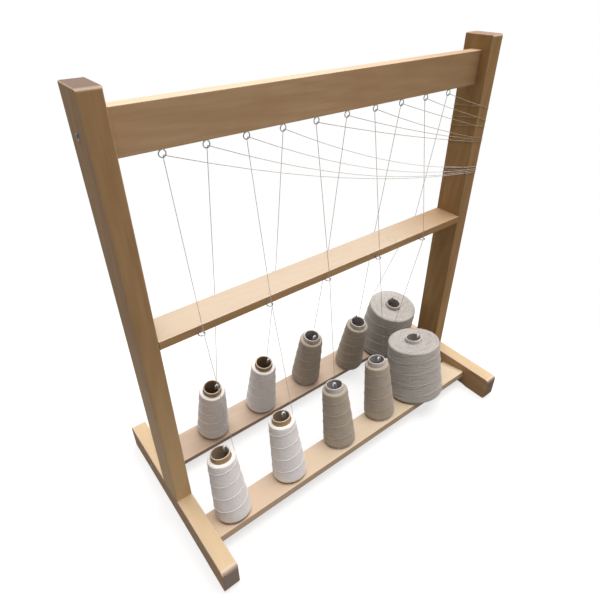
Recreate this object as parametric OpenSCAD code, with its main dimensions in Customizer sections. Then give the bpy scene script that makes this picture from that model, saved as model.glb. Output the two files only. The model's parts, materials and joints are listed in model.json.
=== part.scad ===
// Cone thread stand. Two posts on feet carry a top board, a middle guide board
// and two shelves that tilt inwards. Ten cones of thread stand over wire pins
// on the shelves, and their threads run up through screw eyes.
// X runs to the right, Y to the back and Z up, and the origin is on the floor
// under the middle of the stand.

/* [Frame] */
// Overall width, over the outer faces of the posts
frame_w = 750; // [750:10:900]
// Overall height, from the floor to the top of the posts
frame_h = 773; // [760:1:850]
// Thickness of posts and feet, across the stand
post_t = 30; // [29:1:34]
// Depth of the posts, front to back
post_d = 60; // [56:1:70]
// Easing of the long edges of posts and feet
edge_r = 2.5; // [1:0.5:4]
// Rounding of the posts' top corners, seen from the side
post_top_r = 5; // [4:0.5:8]

/* [Feet] */
// Length of a foot, front to back
foot_l = 390; // [370:5:450]
// Height of a foot
foot_h = 59; // [54:1:70]
// Rounding of a foot's end corners
foot_r = 11; // [6:1:16]
// Rise of the relief under a foot
relief_h = 4; // [2:0.5:6]
// Length of the pad at each end of a foot
pad_l = 43; // [38:1:55]
// Length of the slope from pad to relief
relief_run = 26; // [16:1:36]

/* [Boards] */
// Easing of the boards' long edges
board_r = 1.5; // [0.5:0.5:3]
// Thickness of the top board
top_t = 22; // [18:1:28]
// Height of the top board's face
top_w = 59; // [50:1:70]
// Drop from the top of the posts to the top board
top_drop = 26; // [15:1:40]
// Thickness of the middle board
mid_t = 15.5; // [14:0.5:20]
// Width of the middle board
mid_w = 60; // [50:1:70]
// Height of the middle board's underside
mid_z = 409; // [390:1:470]

/* [Shelves] */
// Thickness of a shelf
shelf_t = 15; // [14:0.5:18]
// Width of a shelf
shelf_w = 62; // [56:1:66]
// Inward tilt of the shelves
shelf_tilt = 10; // [6:0.5:12]
// Distance from the middle of the stand to a shelf's centre line
shelf_y = 96; // [94:1:120]
// Height of that centre line, on the shelf's top face
shelf_z = 36; // [34:0.5:42]

/* [Pins] */
// Distance from a foot's inner face to the outermost pin of the nearer row
pin_end = 63.75; // [61:0.25:66]
// Diameter of the pin wire
pin_d = 3.5; // [3:0.1:4]
// Height of a pin above its shelf
pin_h = 154; // [149:1:158]
// Bend radius of the crook at a pin's top, on the wire's centre line
crook_r = 2.75; // [2.4:0.05:3]
// Length of the short leg below the crook
crook_l = 8; // [4:0.5:12]

/* [Cones] */
// Height of a cone tube
tube_h = 144; // [142:1:146]
// Outer radius of a tube at its foot
tube_base_r = 30.5; // [30:0.25:31]
// Outer radius of a tube at its rim
tube_rim_r = 17.7; // [17.5:0.1:18.5]
// Wall of a tube
tube_wall = 2.2; // [1.6:0.1:2.4]
// Height of the yarn's lower edge on a tube
yarn_foot = 5; // [4:0.5:8]
// Rounding of the yarn's lower edge
yarn_foot_r = 8; // [5:0.5:10]
// Rounding of the yarn's shoulder
yarn_nose_r = 3.5; // [2:0.5:4]
// Radius of a small package at its foot
small_low_r = 33.5; // [33:0.5:40]
// Radius of a small package at its shoulder
small_high_r = 25.5; // [25:0.5:28]
// Height of a small package's shoulder
small_high = 130; // [126:1:132]
// Radius of a large package at its foot
large_low_r = 64; // [55:1:66]
// Radius of a large package at its shoulder
large_high_r = 57; // [50:1:58]
// Height of a large package's shoulder
large_high = 131.5; // [126:0.5:134]

/* [Thread] */
// Thickness of the thread
thread_d = 1; // [0.6:0.1:1.2]
// Turns of the outermost thread on each package
outer_turns = 4; // [2:1:4]

/* [Screw eyes] */
// Radius of an eye's ring, on the wire's centre line
eye_r = 5; // [4.8:0.1:5.4]
// Diameter of the eye wire
eye_wire = 1.6; // [1.4:0.1:1.8]
// Stem between the wood and the ring
eye_stem = 3; // [2:0.5:4]
// Height of a guide eye above the middle board's underside
eye_up = 5; // [4:0.5:8]

/* [Fasteners] */
// Diameter of the bolts
bolt_d = 6; // [5:0.5:6]
// Diameter of a bolt's head
head_d = 10; // [9:0.5:11]
// Height of a bolt's head
head_h = 6; // [5:0.5:7]
// Width across the flats of the hexagon socket
socket_w = 5; // [4:0.5:5.5]
// Diameter of a barrel nut
nut_d = 10; // [9:0.5:11]
// Length of a barrel nut
nut_l = 10; // [8:0.5:11]
// Distance from a board's end to its barrel nut
nut_in = 35; // [25:1:45]
// Diameter of the dowels
dowel_d = 8; // [6:0.5:8]
// Length of the dowels
dowel_l = 40; // [30:1:46]
// Distance between the two dowels of a joint
dowel_gap = 36; // [30:1:40]

/* [Hidden] */

$fn = 48;

// Overrun of every cut past the face that it opens
over = 1;
// Radial room of a bolt in its hole, and of a head in its sink
bolt_room = 0.3;
head_room = 0.5;
// Radial room of nuts, dowels and wires in their holes
nut_room = 0.1;
dowel_room = 0.05;
wire_room = 0.02;
// Room at the bottom of nut, bolt and dowel holes
end_room = 0.3;
// How far the bolt heads stand out of the wood
head_proud = 1;
// Chamfer round the bolt heads
head_chamfer = 0.7;
// Share of a bolt head's height that its socket takes
socket_share = 0.55;
// Bolt past the middle of its barrel nut
bolt_past = 5;
// Wood over the head of the bolt under a foot
foot_seat = 8;
// Depth of the pins and screw eyes in the wood
pin_in = 12;
eye_in = 14;
// Opening of a screw eye's ring, in degrees
eye_open = 24;
// Rounding of a tube's rim, as a share of its wall
rim_round_share = 0.5;
// Steps of the rounded outlines and of the relief's slope
round_steps = 6;
relief_steps = 8;

// Free radial room between yarn and tube, and between a turn and the yarn
yarn_room = 0.1;
// Gap that threads keep to cones and to each other's ends
thread_gap = 0.3;
// Gap between the led threads and the wood they are laid round
wrap_gap = 0.05;
// Rings to a turn and sides of the outermost thread
turn_rings = 18;
turn_sides = 6;
thread_sides = 8;
// Room between the outermost turns and the yarn's two edges
turn_margin = 2;

// Cones on each shelf, and the shift between the rows as a share of the pitch
cones = 5;
stagger_share = 0.25;
FRONT = -1;
REAR = 1;

// Where each cone's pin stands in its bore, as shares of the free play there
front_lean_shares = [[0.95, -0.14], [0.46, -0.33], [-0.13, -0.45], [0.16, -0.56], [0.55, -0.72]];
rear_lean_shares = [[0.72, -0.47], [0.87, -0.30], [0.11, -0.75], [0.29, 0.90], [0.51, 0.80]];
// Where each thread leaves its cone, in degrees round it from +X
front_off_angles = [0, 0, 50, 10, 110];
rear_off_angles = [40, 40, 40, 40, 110];

// Side of the thread's way through a guide eye and a top eye, as shares of the eye's radius
guide_way_shares = [0.6, 0.2];
top_way_shares = [0.3, 0.3];
top_exit_shares = [1.12, 0.72];
top_entry_share = 1.16;
// Side way that a thread keeps as it passes a top eye's wire
eye_pass = 2.6;

// The led threads' route round the right post, one row for each thread from the right,
// as shares of the stand's height: where it meets the post's front inner corner, the outer
// front corner, the outer rear corner and the inner rear corner, then its sag on the way.
led_route_shares = [
    [0.8461, 0.8331, 0.8305, 0.8357, 0.0006],
    [0.8182, 0.8021, 0.7995, 0.806, 0.0019],
    [0.7975, 0.7878, 0.784, 0.784, 0.0013],
    [0.7684, 0.7587, 0.7542, 0.7529, 0.0052],
    [0.7633, 0.7549, 0.749, 0.7477, 0.0052],
    [0.7581, 0.751, 0.7439, 0.7426, 0.0052],
    [0.6908, 0.6837, 0.6779, 0.6714, 0.022],
    [0.6837, 0.6785, 0.6714, 0.6636, 0.0285],
    [0.6792, 0.674, 0.6662, 0.6585, 0.031],
    [0.6746, 0.6695, 0.6611, 0.6533, 0.0259]
];
// Drop of a thread's end below the start of its turn round the post
led_close = 1.6;
// Shares of the way along a led thread at which its sag is followed
sag_shares = [0.15, 0.35, 0.6, 0.8];

wire_r = pin_d / 2;
thread_r = thread_d / 2;
inner_w = frame_w - 2 * post_t;
post_x = (frame_w - post_t) / 2;
top_z = frame_h - top_drop - top_w / 2;
mid_mid_z = mid_z + mid_t / 2;
guide_z = mid_z + eye_up;
guide_y = mid_w / 2 + eye_stem + eye_r;
top_eye_z = top_z - top_w / 2 - eye_stem - eye_r;
play = tube_rim_r - tube_wall - wire_r;
sink = head_h - head_proud;
frame_bolt_l = post_t - sink + nut_in + bolt_past;
post_bolt_z = relief_h + foot_seat;
post_bolt_l = foot_h - post_bolt_z + nut_in + bolt_past;
small_low = yarn_foot + yarn_foot_r;
// The last two cones of a row clear each other however they lean, and the other pins share the rest
last_pitch = small_low_r + large_low_r + 2 * play;
pin_pitch = (inner_w - 2 * pin_end - last_pitch) / (cones - 2 + 2 * stagger_share);
row_l = (cones - 2) * pin_pitch + last_pitch;

// Turns that lay a rod, which rises along Z, along another axis
UP = [0, 0, 0];
RIGHT = [0, 90, 0];
LEFT = [0, -90, 0];
DOWN = [180, 0, 0];
BACK = [-90, 0, 0];
FORWARD = [90, 0, 0];

// Outlines

// Rectangle of w by h round the origin, with corners of radius r
module round_rect(w, h, r) {
    square([w - 2 * r, h], center = true);
    square([w, h - 2 * r], center = true);
    for (sx = [-1, 1], sy = [-1, 1])
        translate([sx * (w / 2 - r), sy * (h / 2 - r)])
            circle(r);
}

// Rectangle that stands on the origin, with rounded top corners only
module round_top(w, h, r) {
    translate([-w / 2, 0])
        square([w, h - r]);
    translate([r - w / 2, 0])
        square([w - 2 * r, h]);
    for (sx = [-1, 1])
        translate([sx * (w / 2 - r), h - r])
            circle(r);
}

// Shallow relief under a foot, with an S-shaped slope at each end
module relief() {
    flat = foot_l / 2 - pad_l - relief_run;
    slope = [for (i = [0:relief_steps])
        let (s = i / relief_steps)
            [flat + relief_run * s, relief_h * (1 + cos(180 * s)) / 2]];
    mirrored = [for (i = [relief_steps:-1:0]) [-slope[i].x, slope[i].y]];
    polygon(concat(
        slope,
        [[flat + relief_run, -over], [-flat - relief_run, -over]],
        mirrored));
}

// Bars and holes

// Extrusions of an outline along X and along Y, both round the middle
module along_x(l) {
    rotate([90, 0, 90])
        linear_extrude(l, center = true)
            children();
}
module along_y(l) {
    rotate([90, 0, 0])
        linear_extrude(l, center = true)
            children();
}

module rod(at, turn, r, l) {
    translate(at)
        rotate(turn)
            cylinder(r = r, h = l);
}

// Hole that starts at a face and runs into the wood
module hole(at, turn, r, l) {
    translate(at)
        rotate(turn)
            translate([0, 0, -over])
                cylinder(r = r, h = l + over);
}

// Shelf's own frame: its origin is on the centre line of the top face
module on_shelf(side) {
    translate([0, side * shelf_y, shelf_z])
        rotate([side * shelf_tilt, 0, 0])
            children();
}
function shelf_point(side, p) =
    let (a = side * shelf_tilt)
        [p.x,
         side * shelf_y + p.y * cos(a) - p.z * sin(a),
         shelf_z + p.y * sin(a) + p.z * cos(a)];

function pin_x(side, i) =
    side * stagger_share * pin_pitch - row_l / 2 + (is_large(i) ? row_l : i * pin_pitch);
function lean(side, i) = side == FRONT ? front_lean_shares[i] : rear_lean_shares[i];
function off_angle(side, i) = side == FRONT ? front_off_angles[i] : rear_off_angles[i];
function is_large(i) = i == cones - 1;
// Foot of a cone's axis in its shelf's frame
function cone_at(side, i) = [pin_x(side, i) - play * lean(side, i).x, -play * lean(side, i).y, 0];

// Holes for the dowels and the bolt at a board's end, in the piece that the turn leads into
module dowel_holes(turn, spread) {
    for (s = [-1, 1])
        hole(s * spread * dowel_gap / 2, turn, dowel_d / 2 + dowel_room, dowel_l / 2 + end_room);
}

// Posts and feet

module post() {
    top_l = frame_h - foot_h;
    difference() {
        translate([post_x, 0, foot_h])
            intersection() {
                linear_extrude(top_l)
                    round_rect(post_t, post_d, edge_r);
                along_x(post_t)
                    round_top(post_d, top_l, post_top_r);
                along_y(post_d)
                    round_top(post_t, top_l, edge_r);
            }
        hole([frame_w / 2, 0, top_z], LEFT, bolt_d / 2 + bolt_room, post_t + over);
        hole([frame_w / 2, 0, top_z], LEFT, head_d / 2 + head_room, sink);
        translate([inner_w / 2, 0, top_z])
            dowel_holes(RIGHT, [0, 0, 1]);
        translate([inner_w / 2, 0, mid_mid_z])
            dowel_holes(RIGHT, [0, 1, 0]);
        translate([post_x, 0, foot_h])
            dowel_holes(UP, [0, 1, 0]);
        hole([post_x, 0, foot_h], UP, bolt_d / 2 + bolt_room, nut_in + bolt_past + end_room);
        hole([post_x, post_d / 2, foot_h + nut_in], FORWARD, nut_d / 2 + nut_room,
            (post_d + nut_l) / 2 + end_room);
    }
}

module foot() {
    difference() {
        translate([post_x, 0, 0])
            intersection() {
                along_x(post_t)
                    difference() {
                        translate([0, foot_h / 2])
                            round_rect(foot_l, foot_h, foot_r);
                        relief();
                    }
                linear_extrude(foot_h)
                    round_rect(post_t, foot_l, edge_r);
                translate([0, 0, foot_h / 2])
                    along_y(foot_l)
                        round_rect(post_t, foot_h, edge_r);
            }
        for (side = [FRONT, REAR]) {
            on_shelf(side)
                translate([0, 0, -shelf_t / 2]) {
                    hole([frame_w / 2, 0, 0], LEFT, bolt_d / 2 + bolt_room, post_t + over);
                    hole([frame_w / 2, 0, 0], LEFT, head_d / 2 + head_room, sink);
                    translate([inner_w / 2, 0, 0])
                        dowel_holes(RIGHT, [0, 1, 0]);
                }
        }
        translate([post_x, 0, foot_h])
            dowel_holes(DOWN, [0, 1, 0]);
        hole([post_x, 0, 0], UP, bolt_d / 2 + bolt_room, foot_h + over);
        hole([post_x, 0, 0], UP, head_d / 2 + head_room, post_bolt_z);
    }
}

module right_post() {
    color("burlywood")
        post();
}
module left_post() {
    color("burlywood")
        mirror([1, 0, 0])
            post();
}
module right_foot() {
    color("burlywood")
        foot();
}
module left_foot() {
    color("burlywood")
        mirror([1, 0, 0])
            foot();
}

// Boards and shelves

module top_board() {
    color("burlywood")
        difference() {
            translate([0, 0, top_z])
                along_x(inner_w)
                    round_rect(top_t, top_w, board_r);
            for (side = [0, 1])
                mirror([side, 0, 0]) {
                    hole([inner_w / 2, 0, top_z], LEFT, bolt_d / 2 + bolt_room, nut_in + bolt_past + end_room);
                    hole([inner_w / 2 - nut_in, top_t / 2, top_z], FORWARD, nut_d / 2 + nut_room,
                        (top_t + nut_l) / 2 + end_room);
                    translate([inner_w / 2, 0, top_z])
                        dowel_holes(LEFT, [0, 0, 1]);
                }
            for (side = [FRONT, REAR], i = [0:cones - 1])
                hole([pin_x(side, i), 0, top_z - top_w / 2], UP, eye_wire / 2 + wire_room, eye_in);
        }
}

module middle_board() {
    color("burlywood")
        difference() {
            translate([0, 0, mid_mid_z])
                along_x(inner_w)
                    round_rect(mid_w, mid_t, board_r);
            for (side = [0, 1])
                mirror([side, 0, 0])
                    translate([inner_w / 2, 0, mid_mid_z])
                        dowel_holes(LEFT, [0, 1, 0]);
            for (side = [FRONT, REAR], i = [0:cones - 1])
                hole([pin_x(side, i), side * mid_w / 2, guide_z], side == FRONT ? BACK : FORWARD,
                    eye_wire / 2 + wire_room, eye_in);
        }
}

module shelf(side) {
    on_shelf(side)
        difference() {
            translate([0, 0, -shelf_t / 2])
                along_x(inner_w)
                    round_rect(shelf_w, shelf_t, board_r);
            for (end = [0, 1])
                mirror([end, 0, 0])
                    translate([inner_w / 2, 0, -shelf_t / 2]) {
                        hole([0, 0, 0], LEFT, bolt_d / 2 + bolt_room, nut_in + bolt_past + end_room);
                        hole([-nut_in, 0, -shelf_t / 2], UP, nut_d / 2 + nut_room,
                            (shelf_t + nut_l) / 2 + end_room);
                        dowel_holes(LEFT, [0, 1, 0]);
                    }
            for (i = [0:cones - 1])
                hole([pin_x(side, i), 0, 0], DOWN, wire_r + wire_room, pin_in);
        }
}

module front_shelf() {
    color("burlywood")
        shelf(FRONT);
}
module rear_shelf() {
    color("burlywood")
        shelf(REAR);
}

// Fasteners

// Socket head bolt: its head's seat is at the origin and its shank rises along Z
module bolt(l) {
    difference() {
        union() {
            rotate_extrude()
                polygon([
                    [0, 0],
                    [head_d / 2, 0],
                    [head_d / 2, head_chamfer - head_h],
                    [head_d / 2 - head_chamfer, -head_h],
                    [0, -head_h]
                ]);
            cylinder(d = bolt_d, h = l);
        }
        translate([0, 0, -head_h - over])
            cylinder(d = socket_w / cos(30), h = head_h * socket_share + over, $fn = 6);
    }
}

module frame_bolts() {
    color("silver")
        for (end = [0, 1])
            mirror([end, 0, 0]) {
                translate([frame_w / 2 - sink, 0, top_z])
                    rotate(LEFT)
                        bolt(frame_bolt_l);
                for (side = [FRONT, REAR])
                    on_shelf(side)
                        translate([frame_w / 2 - sink, 0, -shelf_t / 2])
                            rotate(LEFT)
                                bolt(frame_bolt_l);
            }
}

module post_bolts() {
    color("silver")
        for (end = [-1, 1])
            translate([end * post_x, 0, post_bolt_z])
                bolt(post_bolt_l);
}

// Barrel nut round the origin, along Z, with its thread's bore along X
module barrel_nut() {
    difference() {
        cylinder(d = nut_d, h = nut_l, center = true);
        rotate(RIGHT)
            cylinder(r = bolt_d / 2 + dowel_room, h = nut_d + 2 * over, center = true);
    }
}

module barrel_nuts() {
    color("silver")
        for (end = [0, 1])
            mirror([end, 0, 0]) {
                translate([inner_w / 2 - nut_in, 0, top_z])
                    rotate(FORWARD)
                        barrel_nut();
                for (side = [FRONT, REAR])
                    on_shelf(side)
                        translate([inner_w / 2 - nut_in, 0, -shelf_t / 2])
                            barrel_nut();
                translate([post_x, 0, foot_h + nut_in])
                    rotate(FORWARD)
                        rotate([0, 0, 90])
                            barrel_nut();
            }
}

// Pair of dowels along the turn, half in each of two pieces
module dowel_pair(turn, spread) {
    for (s = [-1, 1])
        translate(s * spread * dowel_gap / 2)
            rotate(turn)
                cylinder(d = dowel_d, h = dowel_l, center = true);
}

module dowels() {
    color("tan")
        for (end = [0, 1])
            mirror([end, 0, 0]) {
                translate([inner_w / 2, 0, top_z])
                    dowel_pair(RIGHT, [0, 0, 1]);
                translate([inner_w / 2, 0, mid_mid_z])
                    dowel_pair(RIGHT, [0, 1, 0]);
                translate([post_x, 0, foot_h])
                    dowel_pair(UP, [0, 1, 0]);
                for (side = [FRONT, REAR])
                    on_shelf(side)
                        translate([inner_w / 2, 0, -shelf_t / 2])
                            dowel_pair(RIGHT, [0, 1, 0]);
            }
}

// Screw eyes

// Screw eye: its stem leaves a face at the origin against Y, and its ring lies flat in XY
module screw_eye() {
    rod([0, -eye_stem - eye_wire / 2, 0], BACK, eye_wire / 2, eye_stem + eye_wire / 2 + eye_in);
    translate([0, -eye_stem - eye_r, 0])
        rotate([0, 0, 90])
            rotate_extrude(angle = 360 - eye_open)
                translate([eye_r, 0])
                    circle(d = eye_wire, $fn = 24);
}

module guide_eyes(side) {
    for (i = [0:cones - 1])
        translate([pin_x(side, i), side * mid_w / 2, guide_z])
            rotate([0, 0, side == FRONT ? 0 : 180])
                screw_eye();
}
module front_guide_eyes() {
    color("dimgray")
        guide_eyes(FRONT);
}
module rear_guide_eyes() {
    color("dimgray")
        guide_eyes(REAR);
}
module top_eyes() {
    color("dimgray")
        for (side = [FRONT, REAR], i = [0:cones - 1])
            translate([pin_x(side, i), 0, top_z - top_w / 2])
                rotate([90, 0, 0])
                    screw_eye();
}

// Pins

// Wire pin that rises from its hole and turns over in a crook towards -X
module pin() {
    bend_z = pin_h - crook_r - wire_r;
    rod([0, 0, -pin_in], UP, wire_r, pin_in + bend_z);
    translate([-crook_r, 0, bend_z])
        rotate([90, 0, 0])
            rotate_extrude(angle = 180)
                translate([crook_r, 0])
                    circle(wire_r, $fn = 24);
    rod([-2 * crook_r, 0, bend_z - crook_l], UP, wire_r, crook_l);
}

module pins(side) {
    on_shelf(side)
        for (i = [0:cones - 1])
            translate([pin_x(side, i), 0, 0])
                pin();
}
module front_pins() {
    color("silver")
        pins(FRONT);
}
module rear_pins() {
    color("silver")
        pins(REAR);
}

// Cones

function tube_r(h) = tube_base_r + (tube_rim_r - tube_base_r) * h / tube_h;

// Arc of radius r round a centre, from angle a to angle b
function arc(centre, r, a, b) = [for (i = [0:round_steps])
    let (t = a + (b - a) * i / round_steps)
        centre + r * [cos(t), sin(t)]];

module tube() {
    round_r = tube_wall * rim_round_share;
    rotate_extrude()
        polygon(concat(
            [[tube_base_r - tube_wall, 0], [tube_base_r, 0]],
            arc([tube_rim_r - round_r, tube_h - round_r], round_r, 0, 180)));
}

// Size of a package: radius at the foot, radius at the shoulder and height of the shoulder
function package(i) = is_large(i)
    ? [large_low_r, large_high_r, large_high]
    : [small_low_r, small_high_r, small_high];
function yarn_r(i, h) =
    let (p = package(i))
        p[0] + (p[1] - p[0]) * (h - small_low) / (p[2] - small_low);

// Angle at which the yarn's lower rounding starts: straight down, or where it meets the tube
function foot_start(i) =
    let (taper = atan((tube_base_r - tube_rim_r) / tube_h),
         reach = (tube_base_r + yarn_room - package(i)[0] + yarn_foot_r) * cos(taper)
             - small_low * sin(taper))
        max(-90, taper - acos(max(-1, reach / yarn_foot_r)));

module yarn(i) {
    p = package(i);
    top = p[2] + yarn_nose_r;
    start = foot_start(i);
    rotate_extrude($fn = 72)
        polygon(concat(
            start > -90 ? [] : [[tube_r(yarn_foot) + yarn_room, yarn_foot]],
            arc([p[0] - yarn_foot_r, small_low], yarn_foot_r, start, 0),
            arc([p[1] - yarn_nose_r, p[2]], yarn_nose_r, 0, 90),
            [[tube_r(top) + yarn_room, top]]));
}

module on_cone(side, i) {
    on_shelf(side)
        translate(cone_at(side, i))
            children();
}

// Sweep of a round thread along points

function unit(v) = v / norm(v);
function way(p, i) = unit(
    (i < len(p) - 1 ? unit(p[i + 1] - p[i]) : [0, 0, 0])
    + (i > 0 ? unit(p[i] - p[i - 1]) : [0, 0, 0]));
function level(u, t) = unit(u - (u * t) * t);
// One sideways vector for each point, carried along the line without twist
function carried(p, u) = [
    for (i = 0, s = level(u, way(p, 0));
        i < len(p);
        i = i + 1, s = level(s, way(p, min(i, len(p) - 1))))
        s];

module strand(p, u, sides, r) {
    side_ways = carried(p, u);
    n = len(p);
    points = [for (i = [0:n - 1])
        let (t = way(p, i), s = side_ways[i], c = cross(t, s))
            for (k = [0:sides - 1])
                let (a = 360 * k / sides)
                    p[i] + r * (cos(a) * s + sin(a) * c)];
    walls = [for (i = [0:n - 2], k = [0:sides - 1])
        let (a = i * sides + k, b = i * sides + (k + 1) % sides)
            each [[a, a + sides, b + sides], [a, b + sides, b]]];
    first = [for (k = [1:sides - 2]) [0, k, k + 1]];
    e = (n - 1) * sides;
    last = [for (k = [1:sides - 2]) [e, e + k + 1, e + k]];
    polyhedron(points = points, faces = concat(walls, first, last), convexity = 10);
}

// Outermost turns of a package, in the cone's frame, ending where the thread leaves it
turn_n = outer_turns * turn_rings;
function turn_low(i) = small_low + turn_margin;
function turn_high(i) = package(i)[2] - turn_margin;
function turn_end(side, i) =
    off_angle(side, i) - (2 * thread_d + thread_gap) / yarn_r(i, turn_high(i)) * 180 / PI;
function turn_points(side, i) = [for (k = [0:turn_n])
    let (h = turn_low(i) + (turn_high(i) - turn_low(i)) * k / turn_n,
         r = (yarn_r(i, h) + thread_r + yarn_room) / cos(180 / turn_rings),
         a = turn_end(side, i) - 360 * (turn_n - k) / turn_rings)
        [r * cos(a), r * sin(a), h]];
// Both ends run straight on for one thread thickness
function turn_line(side, i) =
    let (p = turn_points(side, i), n = len(p) - 1)
        concat(
            [p[0] + thread_d * unit(p[0] - p[1])],
            p,
            [p[n] + thread_d * unit(p[n] - p[n - 1])]);
function self_gap(p) = min([for (i = [0:len(p) - 1], j = [i + turn_rings / 2:len(p) - 1])
    norm(p[i] - p[j]) - thread_d]);
echo(least_gap_between_small_turns = self_gap(turn_line(FRONT, 0)));
echo(least_gap_between_large_turns = self_gap(turn_line(FRONT, cones - 1)));

// Route of a thread from its cone to the guide eye, and on round the right post

// A thread leaves its cone at the yarn's shoulder
function off_point(side, i) =
    let (h = package(i)[2],
         a = off_angle(side, i),
         r = yarn_r(i, h) + thread_gap + thread_r)
        shelf_point(side, cone_at(side, i) + [r * cos(a), r * sin(a), h]);
function guide_point(side, i) = [
    pin_x(side, i) + eye_r * guide_way_shares[0],
    side * (guide_y + eye_r * guide_way_shares[1]),
    guide_z];

module lower_thread(side, i) {
    a = off_point(side, i);
    b = guide_point(side, i);
    strand([a, b - thread_gap * unit(b - a)], [1, 0, 0], thread_sides, thread_r);
}

// Way through the top eye, up behind its wire, through the ring and off in front of it
function eye_way(x) = [
    [x + eye_r * top_way_shares[0], eye_pass, top_eye_z - eye_r * top_entry_share],
    [x + eye_r * top_way_shares[0], 0, top_eye_z - eye_r * top_way_shares[1]],
    [x + eye_r * top_exit_shares[0], -eye_pass, top_eye_z - eye_r * top_exit_shares[1]]];
function sagged(a, b, sag) = [for (s = sag_shares) a + (b - a) * s - [0, 0, 4 * sag * s * (1 - s)]];
// Turn round the right post, two points to a corner, which clear the post's eased edges
function post_turn(z) =
    let (g = wrap_gap + thread_r,
         c = (edge_r + g) * (1 - tan(45 / 2)),
         x0 = inner_w / 2 - g,
         x1 = frame_w / 2 + g,
         y = post_d / 2 + g)
        [[x0, c - y, z[0]], [x0 + c, -y, z[0]],
         [x1 - c, -y, z[1]], [x1, c - y, z[1]],
         [x1, y - c, z[2]], [x1 - c, y, z[2]],
         [x0 + c, y, z[3]], [x0, y - c, z[3]],
         [x0, c - y, z[0] - led_close]];
function led_line(side, i) =
    let (k = 2 * (cones - 1 - i) + (side == REAR ? 0 : 1),
         z = frame_h * led_route_shares[k],
         start = guide_point(side, i),
         through = eye_way(pin_x(side, i)),
         turn = post_turn(z))
        concat(
            [start + thread_gap * unit(through[0] - start)],
            through,
            sagged(through[2], turn[0], z[4]),
            turn);

module led_threads() {
    color("antiquewhite")
        for (side = [FRONT, REAR], i = [0:cones - 1])
            strand(led_line(side, i), [1, 0, 0], thread_sides, thread_r);
}

// Colours of the cones, from left to right
tube_colours = ["peru", "peru", "gray", "gray", "gray"];
yarn_colours = ["white", "white", "tan", "tan", "silver"];

module cone_tube(side, i) {
    color(tube_colours[i])
        on_cone(side, i)
            tube();
}
module cone_yarn(side, i) {
    color(yarn_colours[i])
        on_cone(side, i)
            yarn(i);
}
module cone_turns(side, i) {
    color(yarn_colours[i])
        on_cone(side, i)
            strand(turn_line(side, i), [0, 0, 1], turn_sides, thread_r);
}
module cone_thread(side, i) {
    color(yarn_colours[i])
        lower_thread(side, i);
}

left_post();
right_post();
left_foot();
right_foot();
top_board();
middle_board();
front_shelf();
rear_shelf();
frame_bolts();
post_bolts();
barrel_nuts();
dowels();
front_guide_eyes();
rear_guide_eyes();
top_eyes();
front_pins();
rear_pins();
for (row = [["front", FRONT], ["rear", REAR]], i = [0:cones - 1]) {
    cone_tube(row[1], i);
    cone_yarn(row[1], i);
    cone_turns(row[1], i);
    cone_thread(row[1], i);
}
led_threads();
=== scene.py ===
"""Dressed scene of a cone thread stand.

A lacquered birch stand carries ten cones of thread over wire pins. Their threads run up
through screw eyes and are led to the right post, where they are laid once round it.
Lengths are metres in the row frame: X to the right, Y to the back and Z up, with the
origin on the floor under the middle of the stand.
"""
import json
import logging
import math
from collections.abc import Callable, Sequence
from dataclasses import dataclass, field
from enum import Enum
from functools import partial

import bmesh
import bpy
import numpy as np
from bpy.types import Material, Node, NodeSocket, NodeTree, Object
from mathutils import Matrix


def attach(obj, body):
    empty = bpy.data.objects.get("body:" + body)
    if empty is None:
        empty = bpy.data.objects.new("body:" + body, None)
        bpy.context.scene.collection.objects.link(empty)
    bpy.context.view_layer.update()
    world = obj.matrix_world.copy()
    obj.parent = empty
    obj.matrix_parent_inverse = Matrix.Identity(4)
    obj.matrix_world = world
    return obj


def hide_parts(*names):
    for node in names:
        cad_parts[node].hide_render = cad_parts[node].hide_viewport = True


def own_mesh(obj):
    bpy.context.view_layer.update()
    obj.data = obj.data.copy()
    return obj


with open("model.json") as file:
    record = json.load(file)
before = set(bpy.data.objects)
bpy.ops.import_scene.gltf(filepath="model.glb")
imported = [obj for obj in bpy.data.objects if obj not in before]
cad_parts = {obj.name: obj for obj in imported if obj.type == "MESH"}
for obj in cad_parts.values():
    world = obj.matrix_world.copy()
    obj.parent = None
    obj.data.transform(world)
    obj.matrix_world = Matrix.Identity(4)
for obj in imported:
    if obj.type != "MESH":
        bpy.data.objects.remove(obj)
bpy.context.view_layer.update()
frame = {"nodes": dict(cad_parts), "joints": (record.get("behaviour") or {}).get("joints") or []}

Array = np.ndarray
Adder = Callable[..., Node]
LOG = logging.getLogger("cone_thread_stand")
MM = 0.001
TAU = 2.0 * math.pi
CONES = 5
LIFTS = {joint["name"]: joint for joint in frame["joints"]}
# Points nearer than this are one point, and edges sharper than this stay sharp
WELD = 0.002 * MM
CREASE = math.radians(50)


class Row(Enum):
    """The two rows of cones, by the side of the stand that their shelf is on."""

    FRONT = -1
    REAR = 1

    @property
    def word(self) -> str:
        """The row's name as the bodies and nodes have it."""
        return self.name.lower()


class Grain(Enum):
    """The way that a piece's wood fibres run, by the number of that axis."""

    ACROSS = 0
    DEEP = 1
    UPRIGHT = 2

    @property
    def turn(self) -> tuple[float, float, float]:
        """The turn that brings the fibres along X."""
        return 0.0, math.pi / 2 * (self is Grain.UPRIGHT), math.pi / 2 * (self is Grain.DEEP)


# Shader helpers


def linear(colour: str) -> tuple[float, float, float, float]:
    """Turn an sRGB colour into the linear one that shader sockets take.

    Args:
        colour: The colour as "#rrggbb".

    Returns:
        Red, green, blue and alpha, linear.
    """
    parts = [int(colour[i:i + 2], 16) / 255 for i in (1, 3, 5)]
    red, green, blue = (c / 12.92 if c <= 0.04045 else ((c + 0.055) / 1.055) ** 2.4 for c in parts)
    return red, green, blue, 1.0


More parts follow.
